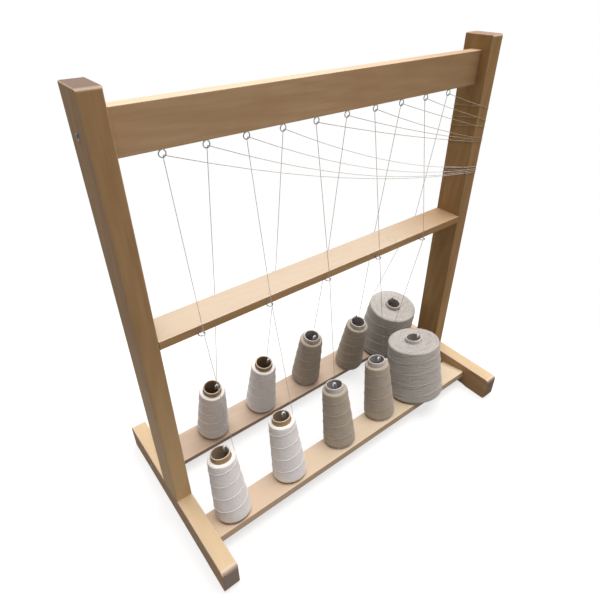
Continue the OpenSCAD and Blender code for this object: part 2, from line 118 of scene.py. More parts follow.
def plug(node: Node, inputs: dict) -> None:
    """Give a node's inputs their values and links.

    Args:
        node: The node.
        inputs: For an input's name or number, a value, an output socket, or a node that
            stands for its first output in use.
    """
    for key, value in inputs.items():
        if isinstance(value, Node):
            value = next(socket for socket in value.outputs if socket.enabled)
        if isinstance(value, NodeSocket):
            node.id_data.links.new(value, node.inputs[key])
        else:
            node.inputs[key].default_value = value


def add_node(tree: NodeTree, kind: str, inputs: dict | None = None,
             stops: Sequence[tuple[float, str]] = (), **settings: object) -> Node:
    """Add one shader node with its settings, values and links.

    Args:
        tree: The node tree that gets the node.
        kind: The node's type, as in bpy.types after ShaderNode.
        inputs: Its inputs, as plug() takes them.
        stops: The two places and colours of a colour ramp.
        settings: The node's own properties.

    Returns:
        The new node.
    """
    node = tree.nodes.new(f"ShaderNode{kind}")
    for name, value in settings.items():
        setattr(node, name, value)
    plug(node, inputs or {})
    for number, (place, colour) in enumerate(stops):
        element = node.color_ramp.elements[number]
        element.position, element.color = place, linear(colour)
    return node


def new_material(name: str) -> tuple[Material, Node, Adder]:
    """Make a material that holds one Principled shader.

    Args:
        name: The material's name.

    Returns:
        The material, its Principled node, and add_node() for its node tree.
    """
    material = bpy.data.materials.new(name)
    material.use_nodes = True
    tree = material.node_tree
    shader = next(n for n in tree.nodes if n.type == "BSDF_PRINCIPLED")
    return material, shader, partial(add_node, tree)


# Mesh helpers


@dataclass
class Surface:
    """Part of a piece's skin: points, four-sided faces and a map for each face corner."""

    points: Array
    faces: Array
    corner_map: Array
    finish: int = 0


def grid_surface(points: Array, u: Array, v: Array, finish: int = 0) -> Surface:
    """Skin a grid of points, with one face between each four neighbours.

    Args:
        points: The grid, rows by columns by 3.
        u: First map value, which broadcasts to rows by columns.
        v: Second map value, which broadcasts to rows by columns.
        finish: Number of the material on the piece.

    Returns:
        The surface. Its faces look outwards where the columns run anticlockwise
        seen against the way of the rows.
    """
    rows, cols = points.shape[:2]
    at = np.arange(rows * cols).reshape(rows, cols)
    faces = np.stack([at[:-1, :-1], at[:-1, 1:], at[1:, 1:], at[1:, :-1]], axis=-1).reshape(-1, 4)
    both = np.stack([np.broadcast_to(part, (rows, cols)) for part in (u, v)], axis=-1)
    return Surface(points.reshape(-1, 3), faces, both.reshape(-1, 2)[faces], finish)


def round_z(radius: Array | float, angle: Array | float, height: Array | float) -> Array:
    """Place points round Z: x = r cos a, y = r sin a, z = h.

    Args:
        radius: Their distance from the axis.
        angle: Their angle from X, which broadcasts with the radius.
        height: Their height, which broadcasts with both.

    Returns:
        The points, with x, y and z along the last axis.
    """
    x, y = radius * np.cos(angle), radius * np.sin(angle)
    return np.stack(np.broadcast_arrays(x, y, height), axis=-1)


def unit(vectors: Array) -> Array:
    """Vectors scaled to length 1, along the last axis."""
    return vectors / np.linalg.norm(vectors, axis=-1, keepdims=True)


def run_of(points: Array) -> Array:
    """Distance along a line at each of its points, from 0."""
    steps = np.linalg.norm(np.diff(points, axis=0), axis=1)
    return np.concatenate([[0.0], np.cumsum(steps)])


def spaced(points: Array, step: float) -> Array:
    """Follow a line again in even steps, by linear interpolation over its length.

    Args:
        points: The line's points, n by 3.
        step: The wanted distance between points.

    Returns:
        The new points, both ends kept.
    """
    run = run_of(points)
    at = np.linspace(0, run[-1], max(2, int(round(run[-1] / step)) + 1))
    return np.stack([np.interp(at, run, points[:, k]) for k in range(3)], axis=1)


def eased(points: Array, reach: float) -> Array:
    """Round a line's corners: (1-t)^2 A + 2t(1-t) C + t^2 B, from A before a corner C to B past it.

    Args:
        points: The line's points, n by 3.
        reach: Distance from a corner to A and B, at most 0.45 of the shorter stretch beside it.

    Returns:
        The rounded line's points, six for each corner.
    """
    corner = points[1:-1]
    into, out = points[:-2] - corner, points[2:] - corner
    lengths = np.minimum(np.linalg.norm(into, axis=1), np.linalg.norm(out, axis=1))
    d = np.minimum(reach, 0.45 * lengths)[:, None]
    a, b = corner + unit(into) * d, corner + unit(out) * d
    t = np.linspace(0, 1, 6)[None, :, None]
    arcs = (1 - t) ** 2 * a[:, None] + 2 * t * (1 - t) * corner[:, None] + t ** 2 * b[:, None]
    return np.concatenate([points[:1], arcs.reshape(-1, 3), points[-1:]])


def sweep(path: Array, radius: Array | float, sides: int, side_way: Array,
          lobe: float = 0.0, pitch: float = 1.0, finish: int = 0) -> Surface:
    """Carry a round or two-lobed section along a path.

    A ring's point is p + r (cos a n + sin a b), where n is the side way made square to the
    path, b = t x n, and r = radius (1 + lobe cos 2(a - turn)), turned once in each pitch.

    Args:
        path: The path's points, n by 3.
        radius: The section's radius, or one for each point.
        sides: Steps round the section.
        side_way: A way that no part of the path runs along, or one for each point.
        lobe: Height of the two lobes as a share of the radius.
        pitch: Length of path in which the lobes turn once.
        finish: Number of the material on the piece.

    Returns:
        The closed tube, with a flat cap on each end.
    """
    way = unit(np.gradient(path, axis=0))
    side = unit(side_way - (side_way * way).sum(axis=1, keepdims=True) * way)
    up = np.cross(way, side)
    run = run_of(path)
    angle = np.linspace(0, TAU, sides + 1)[None, :]
    lobes = 1 + lobe * np.cos(2 * (angle - TAU * run[:, None] / pitch))
    size = np.broadcast_to(radius, run.shape)[:, None] * lobes
    rings = path[:, None] + size[..., None] * (np.cos(angle)[..., None] * side[:, None]
                                               + np.sin(angle)[..., None] * up[:, None])
    ends = [np.repeat(path[i][None, None], sides + 1, axis=1) for i in (0, -1)]
    points = np.concatenate([ends[0], rings, ends[1]])
    along = np.concatenate([run[:1], run, run[-1:]])[:, None]
    return grid_surface(points, angle / TAU, along, finish)


def make_piece(name: str, surfaces: Sequence[Surface], materials: Sequence[Material]) -> Object:
    """Join surfaces into one object at the origin, weld their seams and shade them smooth.

    Args:
        name: The piece's name.
        surfaces: Its surfaces.
        materials: Its materials, in the order of the surfaces' finish numbers.

    Returns:
        The new object, linked to the scene.
    """
    first = np.cumsum([0] + [len(s.points) for s in surfaces[:-1]])
    points = np.concatenate([s.points for s in surfaces]).astype(np.float32)
    faces = np.concatenate([s.faces + n for s, n in zip(surfaces, first)]).astype(np.int32)
    corners = np.concatenate([s.corner_map for s in surfaces]).astype(np.float32)
    finishes = np.concatenate([np.full(len(s.faces), s.finish) for s in surfaces]).astype(np.int32)
    mesh = bpy.data.meshes.new(name)
    mesh.vertices.add(len(points))
    mesh.vertices.foreach_set("co", points.ravel())
    mesh.loops.add(faces.size)
    mesh.loops.foreach_set("vertex_index", faces.ravel())
    mesh.polygons.add(len(faces))
    mesh.polygons.foreach_set("loop_start", np.arange(0, faces.size, 4, dtype=np.int32))
    mesh.polygons.foreach_set("material_index", finishes)
    mesh.update(calc_edges=True)
    mesh.uv_layers.new(name="UVMap").uv.foreach_set("vector", corners.ravel())
    welded = bmesh.new()
    welded.from_mesh(mesh)
    bmesh.ops.remove_doubles(welded, verts=welded.verts, dist=WELD)
    welded.to_mesh(mesh)
    welded.free()
    for material in materials:
        mesh.materials.append(material)
    mesh.shade_smooth()
    mesh.set_sharp_from_angle(angle=CREASE)
    piece = bpy.data.objects.new(name, mesh)
    bpy.context.scene.collection.objects.link(piece)
    return piece


def settle(piece: Object, body: str, node: str, slot: str) -> Object:
    """Put a piece on its body in place of a CAD node.

    Args:
        piece: The piece.
        body: The body that it moves with.
        node: The CAD node that it stands for.
        slot: Its material slot; not used.

    Returns:
        The piece.
    """
    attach(piece, body)
    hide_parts(node)
    return piece


def dress_node(name: str, material: Material) -> None:
    """Put one material on a CAD node, in place of what it came with."""
    frame["nodes"][name].data.materials.clear()
    frame["nodes"][name].data.materials.append(material)


def report(piece: Object) -> None:
    """Log a piece's name and its number of faces."""
    LOG.info("%s: %d faces", piece.name, len(piece.data.polygons))


# Places that the threads, wires and cones share


@dataclass(frozen=True)
class StandPlan:
    """Sizes and places of the stand that the dressed pieces follow."""

    width: float = 750 * MM
    height: float = 773 * MM
    post_t: float = 30 * MM
    post_d: float = 60 * MM
    edge_r: float = 2.5 * MM
    shelf_tilt: float = math.radians(10)
    shelf_y: float = 96 * MM
    shelf_z: float = 36 * MM
    mid_w: float = 60 * MM
    guide_z: float = 414 * MM
    top_face_z: float = 688 * MM
    pin_pitch: float = 125 * MM
    stagger: float = 31.25 * MM
    eye_r: float = 5 * MM
    eye_stem: float = 3 * MM
    play: float = 13.75 * MM
    thread_r: float = 0.5 * MM
    thread_gap: float = 0.3 * MM
    thread_lobe: float = 0.13
    ply_pitch: float = 5 * MM

    def on_shelf(self, row: Row, points: Array) -> Array:
        """Take points from a shelf's own frame to the row frame, by a turn about X and a shift.

        Args:
            row: The shelf's row.
            points: Points in the shelf's frame, whose Z stands square on its top face.

        Returns:
            The points in the row frame.
        """
        a = row.value * self.shelf_tilt
        x, y, z = points[..., 0], points[..., 1], points[..., 2]
        return np.stack([x,
                         row.value * self.shelf_y + y * math.cos(a) - z * math.sin(a),
                         self.shelf_z + y * math.sin(a) + z * math.cos(a)], axis=-1)

    def pin_x(self, row: Row, index: int) -> float:
        """Place of a pin along the stand."""
        return row.value * self.stagger + (index - (CONES - 1) / 2) * self.pin_pitch

    def guide_point(self, row: Row, index: int) -> Array:
        """Where a thread passes its guide eye on the middle board."""
        ring_y = self.mid_w / 2 + self.eye_stem + self.eye_r * 1.2
        return np.array([self.pin_x(row, index) + self.eye_r * 0.6, row.value * ring_y, self.guide_z])


@dataclass(frozen=True)
class Package:
    """Shape of the yarn on a cone, in the cone's own frame."""

    low_r: float
    high_r: float
    high: float
    cols: int
    rows: int = 112
    low: float = 13 * MM
    foot: float = 3.2 * MM
    foot_round: float = 6 * MM
    nose_round: float = 3.5 * MM
    turns: int = 4

    @property
    def top(self) -> float:
        """Height of the top face."""
        return self.high + self.nose_round

    def radius(self, height: Array | float) -> Array | float:
        """Radius of the straight flank at a height."""
        return self.low_r + (self.high_r - self.low_r) * (height - self.low) / (self.high - self.low)


@dataclass(frozen=True)
class Tube:
    """Shape of the paper tube in every cone, in the cone's own frame."""

    height: float = 144 * MM
    base_r: float = 30.5 * MM
    rim_r: float = 17.7 * MM
    wall: float = 2.2 * MM

    @property
    def taper(self) -> float:
        """Angle between the tube's wall and its axis."""
        return math.atan((self.base_r - self.rim_r) / self.height)

    def radius(self, height: Array | float) -> Array | float:
        """Outer radius at a height."""
        return self.base_r - math.tan(self.taper) * height


SMALL = Package(low_r=33.5 * MM, high_r=25.5 * MM, high=130 * MM, cols=240)
LARGE = Package(low_r=64 * MM, high_r=57 * MM, high=131.5 * MM, cols=400)
TUBE = Tube()

# Where each pin stands in its cone's bore, as shares of the free play there
LEANS = {
    Row.FRONT: ((0.95, -0.14), (0.46, -0.33), (-0.13, -0.45), (0.16, -0.56), (0.55, -0.72)),
    Row.REAR: ((0.72, -0.47), (0.87, -0.30), (0.11, -0.75), (0.29, 0.90), (0.51, 0.80)),
}
# Where each thread leaves its cone, in degrees round it from X
OFF_ANGLES = {Row.FRONT: (0, 0, 50, 10, 110), Row.REAR: (40, 40, 40, 40, 110)}


@dataclass(frozen=True)
class ConePlace:
    """One cone of thread on its shelf."""

    plan: StandPlan
    row: Row
    index: int
    turn_margin: float = 2 * MM
    turn_end: float = 2.3 * MM
    turn_room: float = 0.1 * MM

    @property
    def name(self) -> str:
        """Row and number, such as front_1."""
        return f"{self.row.word}_{self.index + 1}"

    @property
    def body(self) -> str:
        """The body that the cone moves with."""
        return self.node("cone")

    @property
    def package(self) -> Package:
        """Shape of this cone's yarn."""
        return LARGE if self.index == CONES - 1 else SMALL

    @property
    def off_angle(self) -> float:
        """Where the thread leaves, as an angle round the cone."""
        return math.radians(OFF_ANGLES[self.row][self.index])

    def node(self, part: str) -> str:
        """Name of the CAD node or piece of one of the cone's parts, such as front_tube_1."""
        return f"{self.row.word}_{part}_{self.index + 1}"

    def to_world(self, points: Array) -> Array:
        """Take points from the cone's own frame, with Z up its axis, to the row frame.

        Args:
            points: Points in the cone's frame.

        Returns:
            The points in the row frame.
        """
        lean = LEANS[self.row][self.index]
        foot = np.array([self.plan.pin_x(self.row, self.index) - self.plan.play * lean[0],
                         -self.plan.play * lean[1], 0.0])
        return self.plan.on_shelf(self.row, points + foot)

    def turn_line(self, per_turn: int) -> Array:
        """Follow the outermost turns up the flank: r = flank + thread, h and angle even.

        Args:
            per_turn: Points in each turn.

        Returns:
            The turns' points in the cone's frame, from the lowest to where the thread leaves.
        """
        shape = self.package
        low, high = shape.low + self.turn_margin, shape.high - self.turn_margin
        last = self.off_angle - self.turn_end / shape.radius(high)
        share = np.linspace(0, 1, shape.turns * per_turn + 1)
        height = low + (high - low) * share
        radius = shape.radius(height) + self.plan.thread_r + self.turn_room
        angle = last - TAU * shape.turns * (1 - share)
        return round_z(radius, angle, height)

    def off_point(self) -> Array:
        """Find where the thread leaves the yarn.

        Returns:
            The point in the cone's frame.
        """
        height = self.package.high
        radius = self.package.radius(height) + self.plan.thread_gap + self.plan.thread_r
        return round_z(radius, self.off_angle, height)


# Finishes. Their tones are sRGB, as seen under plain white light


@dataclass(frozen=True)
class Mark:
    """A stain, knot or soft patch of colour on wood: a ring or a spot round a place."""

    place: tuple[float, float, float]
    radius: float
    width: float
    colour: str
    strength: float


@dataclass(frozen=True)
class LacqueredBirch:
    """Planed birch under clear satin lacquer: long soft fibres, dull gloss, a painted sheen that pales
    it where it faces up, and a painted highlight on its rounded edges.
    """

    name: str
    grain: Grain
    seed: float
    end: float = 0.0
    end_run: float = 5 * MM
    end_blur: float = 2.5 * MM
    marks: tuple[Mark, ...] = ()
    pale: str = "#bf9f76"
    mid: str = "#b39167"
    deep: str = "#9c7a52"
    blush: str = "#b98f70"
    # Painted sheen: the tone and share that pale the faces that look up
    bleached: str = "#ddd2b8"
    bleach: float = 0.4
    end_tone: str = "#846f68"
    # Painted highlight: the tone and share that pale the rounded edges
    rubbed: str = "#eadaca"
    rub: float = 0.55
    fibre: float = 1.6 * MM
    fibre_run: float = 90 * MM
    cloud: float = 28 * MM
    cloud_stretch: float = 0.16
    patch: float = 70 * MM
    ring: float = 11 * MM
    pore: float = 0.12 * MM

    def build(self) -> Material:
        """Make the wood: a cloudy ground, and covers over it along X of turned coordinates.

        A cover is a tone that comes in as its measure goes from one value to another. In
        order they are growth rings, streaks, blush, painted sheen on faces that look up, painted
        highlight on rounded edges, end grain, and marks.

        Returns:
            The material.
        """
        material, shader, add = new_material(self.name)
        place = add("TexCoord").outputs["Object"]
        facing = add("NewGeometry").outputs["Normal"]
        wood = add("Mapping", {"Vector": place, "Rotation": self.grain.turn,
                               "Location": (self.seed, self.seed * 0.7, self.seed * 1.3)})
        drawn = add("Mapping", {"Vector": wood, "Scale": (self.fibre / self.fibre_run, 1, 1)})
        wide = add("Mapping", {"Vector": wood, "Scale": (self.cloud_stretch, 1, 1)})
        fibres, tone, rose = (
            add("TexNoise", {"Vector": way, "Scale": 1 / size, "Detail": detail, "Roughness": rough})
            for way, size, detail, rough in (
                (drawn, self.fibre, 4.0, 0.6), (wide, self.cloud, 3.0, 0.55),
                (wood, self.patch, 2.0, 0.5)))
        rings = add("TexWave", {"Vector": wide, "Scale": TAU / (20 * self.ring), "Distortion": 7.0,
                                "Detail": 2.0, "Detail Scale": 0.7}, bands_direction="DIAGONAL")
        colour = add("ValToRGB", {"Fac": tone}, stops=((0.30, self.mid), (0.68, self.pale)))
        up = add("SeparateXYZ", {"Vector": facing}).outputs["Z"]
        soft, even = "SMOOTHSTEP", "LINEAR"
        covers = [(rings.outputs["Fac"], 0.0, 1.0, 0.22, self.deep, even),
                  (fibres, 0.52, 0.75, 0.55, self.deep, even),
                  (rose, 0.5, 0.72, 0.35, self.blush, even),
                  # Painted sheen on the faces that look up
                  (up, 0.35, 0.95, self.bleach, self.bleached, soft),
                  # Painted highlight on the rounded edges
                  (self.roundness(add, facing), 0.2, 0.42, self.rub, self.rubbed, soft)]
        if self.end:
            square, far = (
                add("Math", {0: add("SeparateXYZ", {"Vector": way}).outputs[self.grain.value]},
                    operation="ABSOLUTE")
                for way in (facing, place))
            most = add("MapRange", {"Value": square, "From Min": 0.4, "From Max": 0.98, "To Max": 0.92},
                       interpolation_type=soft)
            cut = self.end - self.end_run
            covers.append((far, cut, cut + self.end_blur, most, self.end_tone, soft))
        for mark in self.marks:
            off = add("VectorMath", {0: place, 1: mark.place}, operation="DISTANCE")
            edge = add("Math", {0: off, 1: mark.radius}, operation="SUBTRACT")
            size = add("Math", {0: edge}, operation="ABSOLUTE")
            covers.append((size, mark.width, 0.0, mark.strength, mark.colour, soft))
        for measure, low, high, share, cover, slope in covers:
            amount = add("MapRange", {"Value": measure, "From Min": low, "From Max": high,
                                      "To Max": share}, interpolation_type=slope)
            colour = add("Mix", {0: amount, 6: colour, 7: linear(cover)}, data_type="RGBA")
        pores = add("Bump", {"Height": fibres, "Strength": 0.35, "Distance": self.pore})
        gloss = add("MapRange", {"Value": fibres, "To Min": 0.38, "To Max": 0.52})
        plug(shader, {"Base Color": colour, "Roughness": gloss, "Normal": pores,
                      "Specular IOR Level": 0.0, "Coat Weight": 0.15, "Coat Roughness": 0.28})
        return material

    def roundness(self, add: Adder, facing: NodeSocket) -> Node:
        """How far a point is round a long edge, where the wood is paled by a painted highlight.

        A flat face's normal lies along an axis, and an edge's between two, so it is
        (|x| + |y|) |z| + 0.6 |x y|, in which upright edges count less.

        Args:
            add: The function that adds a node to the material.
            facing: The surface's normal.

        Returns:
            The node that gives the measure.
        """
        size = add("VectorMath", {0: facing}, operation="ABSOLUTE")
        x, y, z = add("SeparateXYZ", {"Vector": size}).outputs
        level = add("Math", {0: x, 1: y})
        corner = add("Math", {0: x, 1: y}, operation="MULTIPLY")
        less = add("Math", {0: corner, 1: 0.6}, operation="MULTIPLY")
        return add("Math", {0: level, 1: z, 2: less}, operation="MULTIPLY_ADD")


@dataclass(frozen=True)
class DrawnSteel:
    """Steel wire or turned steel: grey metal with fine die lines and a little dullness."""

    name: str
    tone: str
    dull_tone: str
    low_rough: float
    high_rough: float
    blotch: float = 6 * MM
    line: float = 0.5 * MM
    line_depth: float = 0.03 * MM

    def build(self) -> Material:
        """Make the metal, with a cloudy tone and gloss and short scratches.

        Returns:
            The material.
        """
        material, shader, add = new_material(self.name)
        place = add("TexCoord").outputs["Object"]
        cloud = add("TexNoise", {"Vector": place, "Scale": 1 / self.blotch, "Detail": 4.0})
        tone = add("ValToRGB", {"Fac": cloud}, stops=((0.35, self.dull_tone), (0.65, self.tone)))
        rough = add("MapRange", {"Value": cloud, "From Min": 0.3, "From Max": 0.7,
                                 "To Min": self.high_rough, "To Max": self.low_rough})
        lines = add("TexNoise", {"Vector": place, "Scale": 1 / self.line, "Detail": 2.0})
        bump = add("Bump", {"Height": lines, "Strength": 0.2, "Distance": self.line_depth})
        plug(shader, {"Base Color": tone, "Metallic": 1.0, "Roughness": rough, "Normal": bump})
        return material


@dataclass(frozen=True)
class TubeBoard:
    """Rolled cardboard: matt, with pressed paper fibres and faint roll lines."""

    name: str
    pale: str
    deep: str
    fibre: float = 2.2 * MM
    cloud: float = 14 * MM
    fibre_depth: float = 0.12 * MM

    def build(self) -> Material:
        """Make the board, with fibres in every direction and a cloudy tone.

        Returns:
            The material.
        """
        material, shader, add = new_material(self.name)
        place = add("TexCoord").outputs["Object"]
        fibres = add("TexNoise", {"Vector": place, "Scale": 1 / self.fibre, "Detail": 6.0,
                                  "Roughness": 0.7})
        cloud = add("TexNoise", {"Vector": place, "Scale": 1 / self.cloud, "Detail": 2.0})
        both = add("Math", {0: fibres, 1: cloud})
        half = add("Math", {0: both, 1: 0.5}, operation="MULTIPLY")
        tone = add("ValToRGB", {"Fac": half}, stops=((0.36, self.deep), (0.62, self.pale)))
        bump = add("Bump", {"Height": fibres, "Strength": 0.5, "Distance": self.fibre_depth})
        plug(shader, {"Base Color": tone, "Roughness": 0.82, "Specular IOR Level": 0.3, "Normal": bump})
        return material


@dataclass(frozen=True)
class WoundYarn:
    """Cross-wound spun yarn: fine crossing threads, soft matt sheen, and painted shade in the gaps and
    grooves.

    The map's u is a share of the way round and v the distance up the package, so a family
    of threads is sin(2 pi (v / spacing + starts u)). The two families differ in spacing and
    starts, as on a real package, so that their crossings don't line up in columns.
    """

    name: str
    pale: str
    deep: str
    families: tuple[tuple[float, int], ...] = ((1.3 * MM, 23), (1.7 * MM, -17))
    bands: tuple[tuple[float, int], ...] = ((8.5 * MM, 4), (11 * MM, -3))
    # Painted light and shade across the broad bands, and a dent darkened by painted shade in their
    # grooves
    band_share: float = 0.1
    groove_share: float = 0.3
    slub: float = 5 * MM
    slub_tone: str = "#ffffff"
    slub_share: float = 0.0
    # Flecks of darker fibre, drawn at 2 mm because the real half millimetre wouldn't show
    speck: float = 2 * MM
    wander: float = 24 * MM
    fuzz: float = 0.9 * MM
    nap: float = 0.25 * MM

    def crossing(self, add: Adder, around: Sequence[NodeSocket], warp: Node,
                 pair: Sequence[tuple[float, int]]) -> Node:
        """The higher of two families of windings, each a sine of the map.

        Args:
            add: The function that adds a node to the material.
            around: The map's u and v.
            warp: A slow unevenness that is added to the phase.
            pair: Each family's distance between threads, and its threads side by side round
                the package, below 0 for the other way.

        Returns:
            The node that gives the level, from -1 to 1.
        """
        waves = []
        for spacing, starts in pair:
            up = add("Math", {0: around[1], 1: TAU / spacing, 2: warp}, operation="MULTIPLY_ADD")
            phase = add("Math", {0: around[0], 1: TAU * starts, 2: up}, operation="MULTIPLY_ADD")
            waves.append(add("Math", {0: phase}, operation="SINE"))
        return add("Math", dict(enumerate(waves)), operation="MAXIMUM")

    def build(self) -> Material:
        """Make the yarn: crossing threads and broad bands with painted shade between them, slubs, flecks
        and fuzz.

        Returns:
            The material.
        """
        material, shader, add = new_material(self.name)
        place, flat = (add("TexCoord").outputs[name] for name in ("Object", "UV"))
        around = add("SeparateXYZ", {"Vector": flat}).outputs
        facing = add("SeparateXYZ", {"Vector": add("NewGeometry").outputs["Normal"]}).outputs["Z"]
        cloud, slow, fuzz, specks = (
            add("TexNoise", {"Vector": place, "Scale": 1 / size, "Detail": detail, "Roughness": rough})
            for size, detail, rough in ((self.slub, 3.0, 0.65), (self.wander, 1.0, 0.5),
                                        (self.fuzz, 3.0, 0.5), (self.speck, 2.0, 0.7)))
        crossed, banded = (
            self.crossing(add, around, add("Math", {0: slow, 1: bend}, operation="MULTIPLY"), pair)
            for bend, pair in ((9.0, self.families), (2.5, self.bands)))
        # Painted shade: the tone darkens in the gaps between crossing threads and across the broad bands
        level = 0.25
        for part, share in ((crossed, 0.25), (cloud, 0.4), (banded, self.band_share)):
            level = add("Math", {0: part, 1: share, 2: level}, operation="MULTIPLY_ADD")
        colour = add("ValToRGB", {"Fac": level}, stops=((0.15, self.deep), (0.75, self.pale)))
        # Flecks show mostly on the top, and grooves between the bands, dented and darkened by painted
        # shade, only on the flank
        flecked, grooved = (
            add("MapRange", {"Value": facing, "From Min": 0.4, "From Max": 0.8,
                             "To Min": on_flank, "To Max": on_top})
            for on_flank, on_top in (
                (0.35 * self.slub_share, self.slub_share), (self.groove_share, 0.0)))
        fleck = add("MapRange", {"Value": specks, "From Min": 0.5, "From Max": 0.66, "To Max": flecked})
        groove_and_shade = add("MapRange", {"Value": banded, "From Min": 0.9, "To Max": grooved},
                     interpolation_type="SMOOTHSTEP")
        # Painted shade: the grooves darken toward half the deep tone
        shade = (*(part / 2 for part in linear(self.deep)[:3]), 1.0)
        for share, tone in ((fleck, linear(self.slub_tone)), (groove_and_shade, shade)):
            colour = add("Mix", {0: share, 6: colour, 7: tone}, data_type="RGBA")
        lift = fuzz
        for part, share in ((crossed, 0.6), (groove_and_shade, -3.0)):
            lift = add("Math", {0: part, 1: share, 2: lift}, operation="MULTIPLY_ADD")
        bump = add("Bump", {"Height": lift, "Strength": 0.5, "Distance": self.nap})
        plug(shader, {"Base Color": colour, "Roughness": 0.88, "Specular IOR Level": 0.25,
                      "Sheen Weight": 0.15, "Sheen Roughness": 0.4, "Normal": bump})
        return material


@dataclass(frozen=True)
class TwistedThread:
    """Two-ply thread: pale plies with a line of painted shade between them, matt.

    The map's u is a share of the way round and v the distance along, so the plies' tone
    is cos(2 (2 pi u - 2 pi v / pitch)), as in the thread's section.
    """

    name: str
    pale: str
    deep: str
    pitch: float
    fuzz: float = 1.2 * MM

    def build(self) -> Material:
        """Make the thread, pale on its two plies and darkened by painted shade where they meet.

        Returns:
            The material.
        """
        material, shader, add = new_material(self.name)
        place, flat = (add("TexCoord").outputs[name] for name in ("Object", "UV"))
        u, v, _ = add("SeparateXYZ", {"Vector": flat}).outputs
        around = add("Math", {0: u, 1: 2 * TAU}, operation="MULTIPLY")
        phase = add("Math", {0: v, 1: -2 * TAU / self.pitch, 2: around}, operation="MULTIPLY_ADD")
        # Painted shade: the tone darkens in the crease between the two plies
        ply = add("Math", {0: phase}, operation="COSINE")
        fuzz = add("TexNoise", {"Vector": place, "Scale": 1 / self.fuzz, "Detail": 3.0})
        mixed = add("Math", {0: ply, 1: 0.35, 2: fuzz}, operation="MULTIPLY_ADD")
        tone = add("ValToRGB", {"Fac": mixed}, stops=((0.1, self.deep), (0.7, self.pale)))
        plug(shader, {"Base Color": tone, "Roughness": 0.85, "Specular IOR Level": 0.25,
                      "Sheen Weight": 0.1})
        return material


# Sub-assemblies


